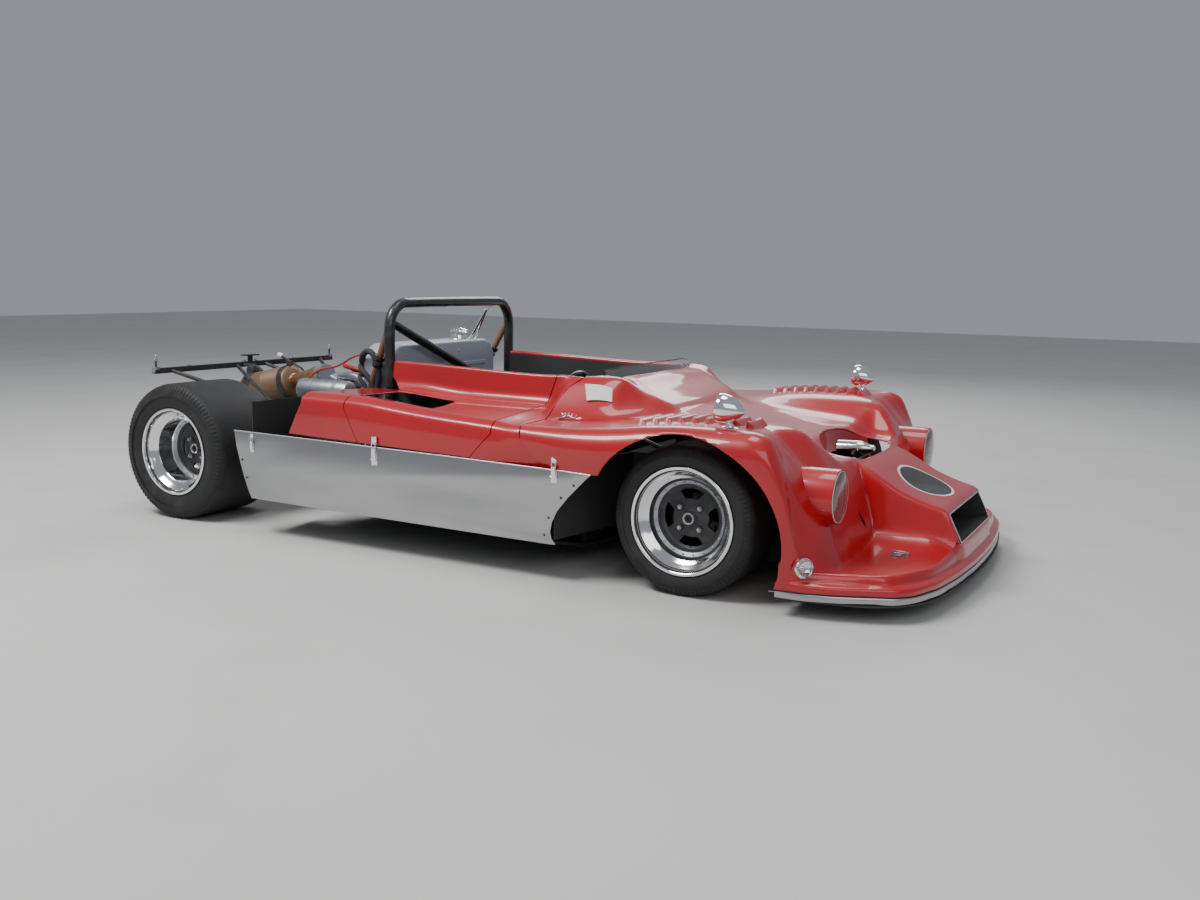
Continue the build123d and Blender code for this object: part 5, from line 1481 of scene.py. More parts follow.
@dataclass
class Nose(Assembly):
    """The small pieces on the nose and cowl, from the inlet's frame to the screen."""

    shape: BodyShape = field(default_factory=BodyShape)
    screen_half: float = 376.0
    latch_y: float = 420.0

    def inlet_frame(self) -> Piece:
        """Returns the thin light edge round the slanted inlet."""
        top, low, half = (743, 271), (789, 178), 251
        corners = [(x, y, z) for (x, z), y in ((top, -half), (top, half), (low, half), (low, -half))]
        ends = zip(corners, corners[1:] + corners[:1])
        return join("inlet_frame", [pipe("frame_bar", pair, 2.2, smooth=False) for pair in ends])

    def duct(self) -> Piece:
        """Returns the black duct behind the inlet: floor, roof and sides."""
        stations = ((783, 745, 180, 267), (700, 700, 174, 276), (600, 600, 172, 300), (520, 520, 170, 330))
        rows = []
        for x, top, low, high in stations:
            rows.append([(x, -249, low), (x, 249, low), (top, 249, high), (top, -249, high), (x, -249, low)])
        return skin("inlet_duct", np.array(rows, dtype=float), 2.0, 20)

    def badge(self) -> list[Piece]:
        """Returns the blank oval badge that follows the nose's top: white edge and dark field."""
        out = []
        for name, long, wide, lift in (("badge_edge", 142, 98, 0.8), ("badge_field", 133, 89, 1.4)):
            rows = []
            for share in np.linspace(0, 1, 9):
                ring = []
                for a in np.linspace(0, 2 * math.pi, 49):
                    x = 604 + wide * share * math.cos(a)
                    ring.append((x, long * share * math.sin(a), float(self.shape.nose_top(x)) + lift))
                rows.append(ring)
            out.append(skin(name, np.array(rows)[::-1], 0.6))
        return out

    def bottle(self) -> Piece:
        """Returns the bright bullet-nosed bottle that lies in the opening."""
        return turned("nose_bottle_body", [
            (0, 0), (1, 24), (4, 28), (78, 28), (92, 26.5), (106, 22.5), (120, 17.5), (131, 14), (138, 13),
            (140, 11), (140, 0)], (266, 25, 424), (1, 0, 0.04), 48)

    def screen_line(self, count: int, lift: float) -> list[Point]:
        """Gives places across the screen at a share of its height.

        Args:
            count: number of places.
            lift: share of the screen's height.

        Returns:
            The places.
        """
        line = []
        for y in np.linspace(-self.screen_half, self.screen_half, count):
            x = cowl_line(y)
            rise = 46 * (1 - 0.45 * float(ease((abs(y) - 300) / 110)))
            line.append((x - 22 * lift, y, self.shape.at(x + 10, y) - 8 + rise * lift))
        return line

    def screen(self) -> Piece:
        """Returns the low clear screen that wraps round the front of the cockpit."""
        rows = [self.screen_line(61, lift) for lift in np.linspace(0, 1, 7)]
        return skin("clear_screen", np.array(rows)[::-1], 3.0)

    def latches(self) -> Piece:
        """Returns the two rubber-and-metal nose latches on the deck."""
        parts = []
        for y in (-self.latch_y, self.latch_y):
            bend = ((600, -14, 158), (640, -12, 160), (648, 0, 159), (640, 12, 160), (600, 14, 158))
            wire = [(x, y + across, z) for x, across, z in bend]
            parts += [
                block("latch_plate", (606, y - 22, 150), (634, y + 22, 154), 1.5),
                pipe("latch_wire", wire, 2.2, bends=4),
                turned("latch_roll", solid(-18, 18, 5), (606, y, 160), LEFT, 16),
                block("latch_hook", (640, y - 7, 146), (656, y + 7, 163), 2),
            ]
        return join("nose_latches", parts)

    def plate(self) -> Piece:
        """Returns the blank white plate on the right wall beside the cockpit."""
        top = np.linspace((-543, -471), (-442, -447), 13)
        low = np.linspace((-508, -518), (-424, -482), 13)
        rows = []
        for down in np.linspace(0, 1, 7):
            x, y = (top + (low - top) * down).T
            rows.append(np.column_stack([x, y, self.shape.height(x, y) + 2]))
        return skin("side_plate", np.array(rows), 1.2)

    def clips(self) -> Piece:
        """Returns the spring clips that hold the moulding's rear corners down."""
        parts = []
        for side in (-1, 1):
            x, y = -533.0, side * 602.0
            z = self.shape.at(x, y)
            hook = [
                (x - 34, y - side * 10, z + 3), (x - 12, y - side * 4, z + 12), (x + 6, y, z + 8),
                (x + 24, y + side * 4, z + 3),
            ]
            turns = [(2.2 * i, 8 * math.cos(i * 1.05), 8 * math.sin(i * 1.05)) for i in range(26)]
            coil = [(x - 30 + a, y + b, z + 12 + c) for a, b, c in turns]
            circle = np.linspace(0, 6.2, 14)
            ring = [(x + 40 + 13 * math.cos(a), y + 13 * math.sin(a), z + 4) for a in circle]
            parts += [
                pipe("clip_hook", hook, 2.6, bends=4),
                pipe("clip_coil", coil, 1.7, sides=2, bends=2),
                pipe("clip_ring", ring, 2.2, sides=2, bends=2),
                block("clip_foot", (x - 42, y - 9, z), (x - 22, y + 9, z + 4), 1.2),
            ]
        return join("corner_clips", parts)

    def build(self) -> None:
        """Builds the small pieces."""
        self.dress(self.plate(), WHITE, slot="red_body")
        self.dress(self.clips(), CHROME)
        edge, oval = self.badge()
        self.dress(self.inlet_frame(), PLAIN_ALUMINIUM)
        self.dress(self.duct(), BLACK_PANEL)
        self.dress(edge, WHITE, slot="red_body")
        self.dress(oval, DARK_GREY)
        self.dress(self.bottle(), POLISHED, "nose_bottle", slot="bare_aluminium")
        self.dress(self.screen(), CLEAR, "windscreen")
        trim = pipe("screen_edge", self.screen_line(41, 1), 2.6, bends=2)
        self.dress(trim, BLACK_PANEL, slot="clear")
        self.dress(self.latches(), STEEL, slot="bare_aluminium")


@dataclass
class Louvres(Assembly):
    """The rows of pressed louvres over the front wheels, open to the rear."""

    shape: BodyShape = field(default_factory=BodyShape)
    lift: float = 21.0

    def blade(self, x: float, low: float, high: float) -> Piece:
        """Builds one raised blade between two places across.

        Args:
            x: the blade's rear edge.
            low: where it starts across.
            high: where it ends across.

        Returns:
            The blade.
        """
        rows = []
        for share in np.linspace(0, 1, 7):
            y = np.linspace(low, high, 17)
            forward = np.full(17, x + 32 * (1 - share))
            ends = ease((y - low) / 9) * ease((high - y) / 9)
            z = self.shape.height(forward, y) - 1.5 + self.lift * np.sin(share * math.pi / 2) ** 1.3 * ends
            rows.append(np.column_stack([forward, y, z]))
        return skin("louvre", np.array(rows), 1.6, 50)

    def build(self) -> None:
        """Builds both rows."""
        blades = [self.blade(-190 + 46 * i, 562, 738 - 5 * i) for i in range(9)]
        left = join("louvres_left", blades)
        self.dress(other_side(left), RED)
        self.dress(left, RED)


@dataclass
class Cockpit(Assembly):
    """The seat, the wheel, the instruments and the linings inside the tub."""

    column: Point = (-770.0, -190.0, 525.0)
    rack: Point = (-200.0, -190.0, 340.0)
    dials: Pairs = ((-190, 48), (-285, 30), (-95, 30), (-15, 30))
    dial_face: tuple[float, float] = (-601, 538)

    def seat(self) -> list[Piece]:
        """Returns the padded cushion and the padded back."""
        y, origin = self.column[1], place(0, 0, 0)
        cushion = self.pad("seat_cushion", 318, 330, 62, 5)
        back = self.pad("seat_back_pad", 500, 330, 46, 8)
        lean = Matrix.Rotation(math.radians(71), 4, "Y")
        for piece, spot, turn in ((cushion, (-1171, y, 160), Matrix()), (back, (-1424, y, 392), lean)):
            piece.data.transform(Matrix.Translation(place(*spot)) @ turn @ Matrix.Translation(-origin))
        return [cushion, back]

    def pad(self, name: str, long: float, wide: float, thick: float, channels: int) -> Piece:
        """Builds a crowned pad about the frame's origin, with sewn channels across its upper side.

        Args:
            name: the piece's name.
            long: its length.
            wide: its width.
            thick: its thickness.
            channels: number of sewn channels.

        Returns:
            The pad.
        """
        count = 64
        shares = np.linspace(-1, 1, count + 1)
        u, v = np.meshgrid(shares, shares, indexing="ij")
        x = u * long / 2 * (1 - 0.03 * (1 - v ** 2))
        y = v * wide / 2 * (1 - 0.04 * (1 - u ** 2))
        swell = np.sqrt(np.clip(1 - u ** 8, 0, 1)) * np.sqrt(np.clip(1 - v ** 8, 0, 1))
        crown = 0.72 + 0.28 * (1 - u ** 2) * (1 - v ** 2)
        seam = np.abs(np.sin((u + 1) / 2 * channels * math.pi))
        groove = 1 - 0.20 * np.exp(-(seam / 0.22) ** 2) * (np.abs(v) < 0.93)
        upper = swell * crown * groove * thick / 2
        under = -swell * thick / 2 * 0.8
        top = np.stack([x, y, upper], axis=2)
        low = np.stack([x, y, under], axis=2)[:, ::-1]
        return skin(name, np.concatenate([top, low[:, 1:]], axis=1)[::-1], 0, 60)

    def bolsters(self) -> Piece:
        """Returns the side rolls of the seat."""
        line = [(-1000, 180), (-1150, 190), (-1290, 215), (-1370, 330), (-1440, 520), (-1480, 630)]
        rolls = []
        for y in (self.column[1] - 168, self.column[1] + 168):
            points = [(x, y, z) for x, z in line]
            rolls.append(pipe("roll", points, 26, (18, 26, 28, 30, 28, 18), sides=5, bends=8))
        return join("seat_bolsters", rolls)

    def steering_wheel(self) -> list[Piece]:
        """Returns the rim, the three spokes with their hub, and the column."""
        hub = np.array(self.column)
        way = np.array(self.rack) - hub
        way = way / np.linalg.norm(way)
        ring = [(12 * math.cos(a), 140 + 13 * math.sin(a)) for a in np.linspace(0, 2 * math.pi, 17)]
        rim = turned("steering_wheel_rim", ring, self.column, way, 64, 60)
        profile = [(40, 0), (40, 30), (12, 38), (4, 38), (0, 30), (0, 0)]
        parts = [turned("boss", profile, self.column, way, 32)]
        cross = np.cross(way, LEFT)
        for c, s in around(3, 90):
            out = np.array(LEFT) * c - cross * s
            line = [tuple(hub + way * 10 + out * 30), tuple(hub + out * 136)]
            parts.append(pipe("spoke", line, 9, (11, 7), False))
        line = [tuple(hub + way * 20), self.rack]
        column = pipe("steering_column", line, 9.5, smooth=False, sides=5)
        return [rim, join("steering_wheel_spokes", parts), column]

    def lining(self) -> Piece:
        """Returns the black sheets inside the cockpit walls and on the pods' floors."""
        rim = SidePanels().rim
        sheets = []
        for side in (-1, 1):
            rows = []
            for x in np.linspace(-1452, -566, 32):
                rows.append([(x, side * 421, z) for z in np.linspace(478, float(rim(x)) - 14, 5)][::side])
            sheets.append(skin("wall_sheet", np.array(rows), 1.2))
            low, high = sorted((562 * side, 850 * side))
            sheets.append(block("floor_sheet", (-1820, low, 150), (-452, high, 152), 0))
        return join("inner_lining", sheets)

    def gauges(self) -> list[Piece]:
        """Returns the bezels and the plain dials with their needles."""
        bezels, faces, needles = [], [], []
        x, z = self.dial_face
        for y, radius in self.dials:
            inner = radius - 5
            edge = [
                (0, inner), (-7, inner), (-9, radius - 2.5), (-7, radius + 1.5), (0, radius + 2),
                (0, inner),
            ]
            bezels.append(turned("bezel", edge, (x, y, z), AHEAD, 48))
            faces.append(turned("face", solid(0, -3, inner), (x, y, z), AHEAD, 48))
            line = [(x - 4, y, z), (x - 4, y - radius * 0.5, z + radius * 0.35)]
            needles.append(pipe("needle", line, 1.4, smooth=False, sides=2))
        return [join("bezels", bezels), join("dial_faces", faces), join("needles", needles)]

    def build(self) -> None:
        """Builds the cockpit."""
        cushion, back = self.seat()
        bolsters = self.bolsters()
        for pad in (cushion, back):
            self.dress(pad, FABRIC)
        self.dress(bolsters, FABRIC, "seat")
        self.dress(self.lining(), BLACK_PANEL)
        rim, spokes, column = self.steering_wheel()
        self.dress(rim, BLACK_TUBE, "steering_wheel", body="steering")
        self.dress(spokes, PLAIN_ALUMINIUM, body="steering")
        self.dress(column, BLACK_TUBE, body="steering")
        bezels, faces, needles = self.gauges()
        self.dress(bezels, CHROME)
        self.dress(faces, BLACK_PANEL)
        self.dress(needles, WHITE)
        for side, name in ((-1, "right"), (1, "left")):
            y = self.column[1] + 62 * side
            line = [(x, y, z) for x, z in ((-1476, 640), (-1447, 560), (-1390, 400), (-1338, 250))]
            line.append((-1282, y - 40 * side, 204))
            middle = resample([(line, 24)])
            strap = np.stack([middle + (0, w, 4) for w in (-24, 24)], axis=1)
            belt = skin(f"belt_{name}", strap, 1.6)
            self.dress(belt, RED_HOSE, slot="seat_cover")
        lever = pipe("gear_lever", [(-1000, -395, 330), (-985, -388, 400), (-990, -384, 452)], 6)
        profile = [(0, 0), (2, 12), (10, 18), (22, 18), (30, 12), (33, 0)]
        knob = turned("gear_knob", profile, (-990, -384, 448), UP, 32)
        self.dress(lever, STEEL)
        self.dress(knob, BLACK_TUBE)


@dataclass
class RollHoop(Assembly):
    """The black hoop with its brace, its rear stays and their clamps."""

    x: float = -1471.0
    half: float = 440.0
    top: float = 918.0
    foot: float = 520.0
    radius: float = 22.0
    bend: float = 105.0

    def build(self) -> None:
        """Builds the hoop."""
        x, half, top, r = self.x, self.half, self.top, self.bend
        bend = [(math.sin(a), math.cos(a)) for a in np.linspace(0, math.pi / 2, 9)]
        side = [(x, half - r + r * s, top - r + r * c) for s, c in bend]
        side += [(x, half, 640), (x, half, self.foot)]
        path = [(a, -b, c) for a, b, c in side[::-1]] + side
        parts = [
            pipe("roll_hoop_tube", path, self.radius, sides=6, bends=4),
            pipe("hoop_brace", [(x, -half + 4, 842), (x, 415, 492)], 19, smooth=False, sides=5),
        ]
        for y in (-half, half):
            foot = [(0, 0), (0, 44), (9, 44), (11, 40), (11, 0)]
            parts.append(turned("foot", foot, (x, y, self.foot - 4), UP, 32))
            for c, s in around(4, 45):
                parts.append(bolt((x + 34 * c, y + 34 * s, self.foot + 6), 6, 3))
        self.dress(join("roll_hoop_frame", parts), BLACK_TUBE, "roll_hoop")
        stays, clamps = [], []
        for side in (-1, 1):
            a, b = np.array((x, side * half, 834)), np.array((-1640, side * 389, 500))
            stays.append(pipe("stay", [tuple(a), tuple(b)], 14.5, smooth=False, sides=5))
            for share, wide in ((0.42, 22), (0.50, 20)):
                profile = [(-11, 15), (-11, wide), (-8, wide + 2), (8, wide + 2), (11, wide), (11, 15)]
                clamps.append(turned("clamp", profile, tuple(a + (b - a) * share), tuple(b - a), 24))
        self.dress(join("hoop_stays", stays), RUSTY, slot="black_tube")
        self.dress(join("stay_clamps", clamps), BLACK_TUBE)
        ends = [(x - 8, 274, 892), (-1560, 250, 744)], [(x - 8, 274, 892), (-1560, 292, 744)]
        legs = [pipe("leg", line, 6.5, smooth=False) for line in ends]
        legs.append(block("lug", (x - 22, 252, 880), (x + 10, 296, 900), 4, 3))
        self.dress(join("hoop_bracket", legs), CHROME)


@dataclass
class FuelTank(Assembly):
    """The grey tank behind the seat with its filler."""

    half: float = 385.0
    low: float = 77.0
    top: float = 745.0
    corner: float = 90.0
    filler: Point = (-1587, 200, 742)

    def tank(self) -> Piece:
        """Returns the tank with the pressed ribs and rivets on its front."""
        y, z, r = self.half - self.corner, self.top - self.corner, self.corner
        outline = [(-self.half, self.low), (self.half, self.low)]
        outline += [(y + r * math.cos(a), z + r * math.sin(a)) for a in np.linspace(0, math.pi / 2, 11)]
        outline += [(-y - r * math.sin(a), z + r * math.cos(a)) for a in np.linspace(0, math.pi / 2, 11)]
        parts = [plate("fuel_tank_shell", outline, -1662, -1512, Axis.X, 14, 4)]
        for height in (560, 640):
            parts.append(block("rib", (-1514, -300, height - 9), (-1508, 300, height + 9), 2.8, 3))
        rivet = [(-2, 0), (-2, 5), (2, 4), (3.4, 0)]
        for across in (-330, -110, 110, 330):
            for height, share in ((520, 1), (700, 0.85)):
                parts.append(turned("rivet", rivet, (-1511, across * share, height), AHEAD, 12))
        return join("fuel_tank_front", parts)

    def cap(self) -> Piece:
        """Returns the filler's flange with its bolts, the cap and its lever."""
        x, y, z = self.filler
        parts = [
            turned("filler", [
                (0, 0), (0, 52), (4, 52), (6, 40), (22, 36), (24, 41), (34, 41), (38, 36), (40, 24),
                (44, 20), (46, 0)], self.filler, UP, 48),
            pipe("lever", [(-1630, y, 782), (x, y, 794), (-1540, y, 786)], 5),
        ]
        head = [(0, 0), (0, 4), (4, 4), (5, 0)]
        for c, s in around(8):
            parts.append(turned("bolt", head, (x + 46 * c, y + 46 * s, z + 3), UP, 8, 20))
        return join("filler_cap_flange", parts)

    def build(self) -> None:
        """Builds the tank."""
        self.dress(self.tank(), GREY_PAINT, "fuel_tank")
        self.dress(self.cap(), CHROME, "filler_cap")


@dataclass
class Exhaust(Assembly):
    """The primaries, the silencer with its bands and tail, and the canister beside them."""

    collector: Point = (-2101.0, -170.0, 575.0)
    front: Point = (-2350.0, -60.0, 527.0)
    way: Point = (-300.0, 0.0, -62.0)
    length: float = 300.0
    canister: tuple[float, float, float, float] = (-2096.0, -1816.0, -276.0, 522.0)

    def silencer(self) -> list[Piece]:
        """Returns the can with its seams, and its dark end bands."""
        n = self.length
        can = turned("silencer_can", [
            (0, 0), (0, 36), (3, 62), (8, 71), (16, 75), (n * 0.5 - 3, 75), (n * 0.5, 76.4),
            (n * 0.5 + 3, 75), (n - 16, 75), (n - 8, 71), (n - 3, 62), (n, 36), (n, 30), (n + 100, 30),
            (n + 100, 27), (n + 10, 27), (n + 10, 0)], self.front, self.way, 64)
        along = np.array(self.way) / np.linalg.norm(self.way)
        bands = []
        for start, wide in ((14, 30), (n - 74, 46)):
            end = start + wide
            profile = [
                (start, 74), (start, 77.5), (start + 1.5, 78.6), (end - 1.5, 78.6), (end, 77.5), (end, 74),
                (start, 74),
            ]
            bands.append(turned("band", profile, self.front, self.way, 64))
            x, y, z = self.front + along * (start + wide / 2)
            bands.append(block("lug", (x - wide / 2, y - 8, z + 76), (x + wide / 2, y + 8, z + 98), 2))
        return [can, join("silencer_bands", bands)]

    def pipes(self) -> list[Piece]:
        """Returns the four bright primaries and the bronze cone behind them."""
        x_end, y_end, z_end = self.collector
        parts = []
        for i, (x, (c, s)) in enumerate(zip(PORTS, around(4, 45))):
            lift = 16 + 24 * (3 - i)
            line = [
                (x, -118, 450), (x - 8, -168, 456), (x - 46, -190, 462 + lift * 0.5),
                (max(x - 130, x_end + 90 + 10 * i), -188, 486 + lift),
                (x_end + 70, y_end + 12 * c, 566 + 10 * s), (x_end + 14, y_end + 16 * c, z_end + 16 * s),
            ]
            parts.append(pipe("primary", line, 19, sides=5, bends=8))
            flange = [(x - 34, 424), (x + 34, 424), (x + 34, 476), (x - 34, 476)]
            parts.append(plate("flange", flange, -134, -122, Axis.Y, 5, 3))
        back = Vector(self.front) - Vector(self.collector)
        run = back.length
        cone = turned("collector_cone", [
            (-52, 0), (-52, 39), (-46, 41), (0, 41), (6, 42.5), (12, 41), (run * 0.55, 33), (run * 0.6, 35),
            (run * 0.65, 32), (run - 14, 30), (run - 12, 34), (run, 34), (run + 8, 34), (run + 8, 0)],
            self.collector, back, 40)
        parts.append(turned("collector_sleeve", [
            (-96, 0), (-96, 40), (-88, 43), (-54, 43), (-50, 44.5), (-46, 43), (-38, 43), (-38, 0)],
            self.collector, back, 40))
        return [join("primaries", parts), cone]

    def can(self) -> list[Piece]:
        """Returns the canister with its rounded ends, and its straps."""
        x, end, y, z = self.canister
        n = end - x
        body = turned("canister_body", [
            (0, 0), (0, 34), (2, 36), (-1, 38), (-1, 44), (4, 47), (10, 48), (n - 22, 48), (n - 8, 43),
            (n, 28), (n, 14), (n + 16, 13), (n + 16, 0)], (x, y, z), AHEAD, 56)
        straps = []
        for start in (64, n - 80):
            low, high = x + start, x + start + 20
            profile = [(start, 47), (start, 49.6), (start + 20, 49.6), (start + 20, 47), (start, 47)]
            straps += [
                turned("strap", profile, (x, y, z), AHEAD, 56),
                block("strap_lug", (low, y - 6, z + 48), (high, y + 6, z + 62), 2),
                block("strap_foot", (low - 6, y - 44, z - 70), (high + 6, y + 44, z - 46), 3),
            ]
        return [body, join("canister_straps", straps)]

    def build(self) -> None:
        """Builds the exhaust and the canister."""
        can, bands = self.silencer()
        bright, cone = self.pipes()
        body, straps = self.can()
        self.dress(can, RUSTY, "silencer")
        self.dress(bands, DARK_ALLOY)
        self.dress(bright, STEEL, "exhaust_headers", slot="exhaust_steel")
        self.dress(cone, BRONZE)
        self.dress(body, STEEL, "canister", slot="bare_aluminium")
        self.dress(straps, STEEL)
        bush = [(-24, 0), (-24, 20), (-18, 24), (18, 24), (24, 20), (24, 0)]
        hanger = [
            pipe("hook", [(-2560, -58, 560), (-2590, -56, 578), (-2682, -52, 584)], 8),
            block("strip", (-2640, -76, 528), (-2600, -36, 584), 8, 3),
            turned("bush", bush, (-2620, -56, 560), LEFT, 24),
        ]
        self.dress(join("silencer_hanger", hanger), BLACK_PANEL, slot="black_tube")


@dataclass
class Engine(Assembly):
    """The open four-cylinder engine with what is bolted to it."""

    front: float = -1662.0
    rear: float = -2132.0
    half: float = 150.0
    cover_y: float = 66.0
    port_way: Point = (0, 0.86, 0.51)

    def block(self) -> Piece:
        """Returns the block with its ribs, sump, core plugs, rail bolts and oil filter."""
        a, b, h = self.rear, self.front, self.half
        parts = [
            block("crankcase", (a, -h + 30, 170), (b, h - 30, 400), 9, 3),
            block("sump", (a + 20, -h + 10, 96), (b - 16, h - 10, 172), 18, 4),
            block("rail", (a - 4, -h, 164), (b + 4, h, 182), 4),
            block("deck", (a - 2, -h + 22, 386), (b + 2, h - 22, 402), 3),
        ]
        for i in range(5):
            x = a + 40 + 98 * i
            parts.append(block("rib", (x - 6, -h + 18, 182), (x + 6, h - 18, 388), 4))
        plug = [(0, 0), (0, 15), (3, 18), (4, 22), (0, 24)]
        for i in range(4):
            for side in (-1, 1):
                spot = (a + 89 + 98 * i, side * (h - 31), 290)
                parts.append(turned("plug", plug, spot, (0, side, 0), 24))
        for i in range(12):
            for side in (-1, 1):
                parts.append(bolt((a + 12 + 40.5 * i, side * (h - 9), 180), 5, 3))
        oil_filter = [(0, 0), (0, 36), (8, 40), (84, 40), (92, 32), (94, 0)]
        parts.append(turned("oil_filter", oil_filter, (a + 330, -h + 26, 232), (0, -0.9, -0.44), 32))
        return join("engine_crankcase", parts)

    def head(self) -> list[Piece]:
        """Returns the head, the two cam covers and the bright cover bolts."""
        a, b = self.rear, self.front
        head = [block("head", (a + 6, -112, 402), (b - 6, 112, 486), 5, 3)]
        boss = [(0, 0), (0, 27), (14, 27), (16, 24), (16, 0)]
        head += [turned("boss", boss, (x, 106, 452), self.port_way, 24) for x in PORTS]
        covers, bolts = [], []
        half = [(44, 484), (44, 506), (36, 532), (18, 548)]
        for y in (-self.cover_y, self.cover_y):
            outline = [(y - half[0][0], half[0][1])] + [(y + w, z) for w, z in half]
            outline += [(y - w, z) for w, z in half[:0:-1]]
            covers.append(plate("cam_cover", outline, a + 14, b - 14, Axis.X, 6, 3))
            for i in range(9):
                fin = y - 20 + i * 5
                covers.append(block("fin", (a + 40, fin - 1, 546), (b - 60, fin + 1, 551), 0.8, 1))
            for i in range(6):
                for edge in (-40, 40):
                    bolts.append(bolt((a + 34 + 80 * i, y + edge, 502), 6, 4, sides=8))
        cap = [(0, 0), (0, 26), (6, 28), (16, 28), (20, 24), (20, 0)]
        bolts.append(turned("cap", cap, (b - 60, self.cover_y, 546), UP, 32))
        names = ("cylinder_head_casting", "cam_cover_pair", "cover_fasteners")
        return [join(name, pieces) for name, pieces in zip(names, (head, covers, bolts))]

    def intakes(self) -> list[Piece]:
        """Returns the four trumpets with their throttle bodies, and the fuel rail with its hoses."""
        trumpets, bodies = [], []
        way = Vector(self.port_way)
        throttle = [(0, 0), (0, 27), (4, 27), (5, 24), (52, 24), (53, 28), (60, 28), (61, 0)]
        trumpet = [
            (58, 21), (58, 24), (100, 25), (124, 28), (138, 34), (145, 42), (146, 44), (143, 44), (134, 36),
            (120, 29), (98, 23), (60, 21),
        ]
        for x in PORTS:
            start = Vector((x, 118, 455))
            nozzle = [start + way * 30 + Vector((0, -16, 20)), start + way * 12 + Vector((0, -44, 60))]
            bodies.append(turned("throttle", throttle, start, way, 28))
            bodies.append(pipe("injector", nozzle, 7, smooth=False))
            trumpets.append(turned("trumpet", trumpet, start, way, 40))
        bodies.append(pipe("rail", [(-1690, 118, 536), (-2070, 118, 536)], 9, smooth=False))
        bodies.append(pipe("shaft", [(-1680, 190, 470), (-2072, 190, 470)], 5, smooth=False))
        return [join("trumpet_row", trumpets), join("throttle_bodies", bodies)]

    def hoses(self) -> list[Piece]:
        """Returns the red hoses, and the black plug leads with the loom."""
        red = (
            [(-1700, -60, 560), (-1690, -140, 590), (-1740, -220, 560), (-1850, -262, 470),
             (-1880, -268, 380)],
            [(-1690, 30, 552), (-1676, -30, 600), (-1672, -120, 606), (-1676, -190, 560),
             (-1690, -215, 470)],
            [(-2070, 118, 536), (-2120, 80, 590), (-2090, 0, 606), (-1960, -20, 590), (-1800, -10, 570)],
        )
        hoses = [pipe("hose", line, 11, sides=5) for line in red]
        leads = []
        for i, x in enumerate(PORTS):
            line = [
                (x, 0, 500), (x + 6, -2, 560), (x + 50, -14, 590 + 6 * i), (-1700, -30 - 6 * i, 600),
                (-1668, -70, 560),
            ]
            leads.append(pipe("lead", line, 4.2, sides=3, bends=8))
            boot = [(0, 0), (0, 10), (30, 9), (40, 6), (40, 0)]
            leads.append(turned("boot", boot, (x, 0, 492), UP, 16))
        distributor = [(0, 0), (0, 34), (30, 36), (54, 32), (60, 20), (60, 0)]
        leads.append(turned("distributor", distributor, (-1690, -70, 510), (0.3, -0.1, 1), 32))
        black = {
            13: [(-1700, -215, 470), (-1690, -300, 600), (-1650, -398, 690), (-1600, -410, 716),
                 (-1560, -408, 650), (-1570, -404, 560), (-1600, -402, 500)],
            11: [(-1720, -240, 520), (-1704, -330, 640), (-1650, -404, 640), (-1596, -410, 590),
                 (-1584, -404, 500)],
            9: [(-1690, -250, 560), (-1668, -396, 610), (-1622, -408, 556), (-1606, -404, 490)],
        }
        leads += [pipe("loom", line, radius, bends=8) for radius, line in black.items()]
        cable = [
            (-2080, -262, 566), (-2030, -244, 604), (-1940, -220, 628), (-1850, -200, 676),
            (-1760, -150, 690), (-1704, -84, 610),
        ]
        hoses.append(pipe("cable", cable, 4.5, sides=3, bends=8))
        return [join("red_hoses", hoses), join("plug_leads", leads)]

    def drive(self) -> Piece:
        """Returns the pulleys at the front."""
        parts = []
        for y, z, r in ((0, 210, 62), (-60, 440, 44), (66, 520, 46), (-66, 520, 46), (20, 330, 34)):
            profile = [
                (0, 0), (0, r), (3, r), (6, r - 6), (12, r - 6), (15, r), (18, r), (18, 12), (24, 10),
                (24, 0),
            ]
            parts.append(turned("pulley", profile, (self.front - 2, y, z), AHEAD, 40))
        return join("front_pulleys", parts)

    def build(self) -> None:
        """Builds the engine."""
        head, covers, bolts = self.head()
        trumpets, bodies = self.intakes()
        hoses, leads = self.hoses()
        self.dress(self.block(), CASTING, "engine_block")
        self.dress(head, CASTING, "cylinder_head")
        self.dress(covers, BLACK_TUBE, slot="cam_covers")
        self.dress(bolts, CHROME)
        self.dress(trumpets, POLISHED, "intake_trumpets", slot="bare_aluminium")
        self.dress(bodies, PLAIN_ALUMINIUM)
        self.dress(hoses, RED_HOSE)
        self.dress(leads, BLACK_PANEL, slot="black_tube")
        self.dress(self.drive(), STEEL)


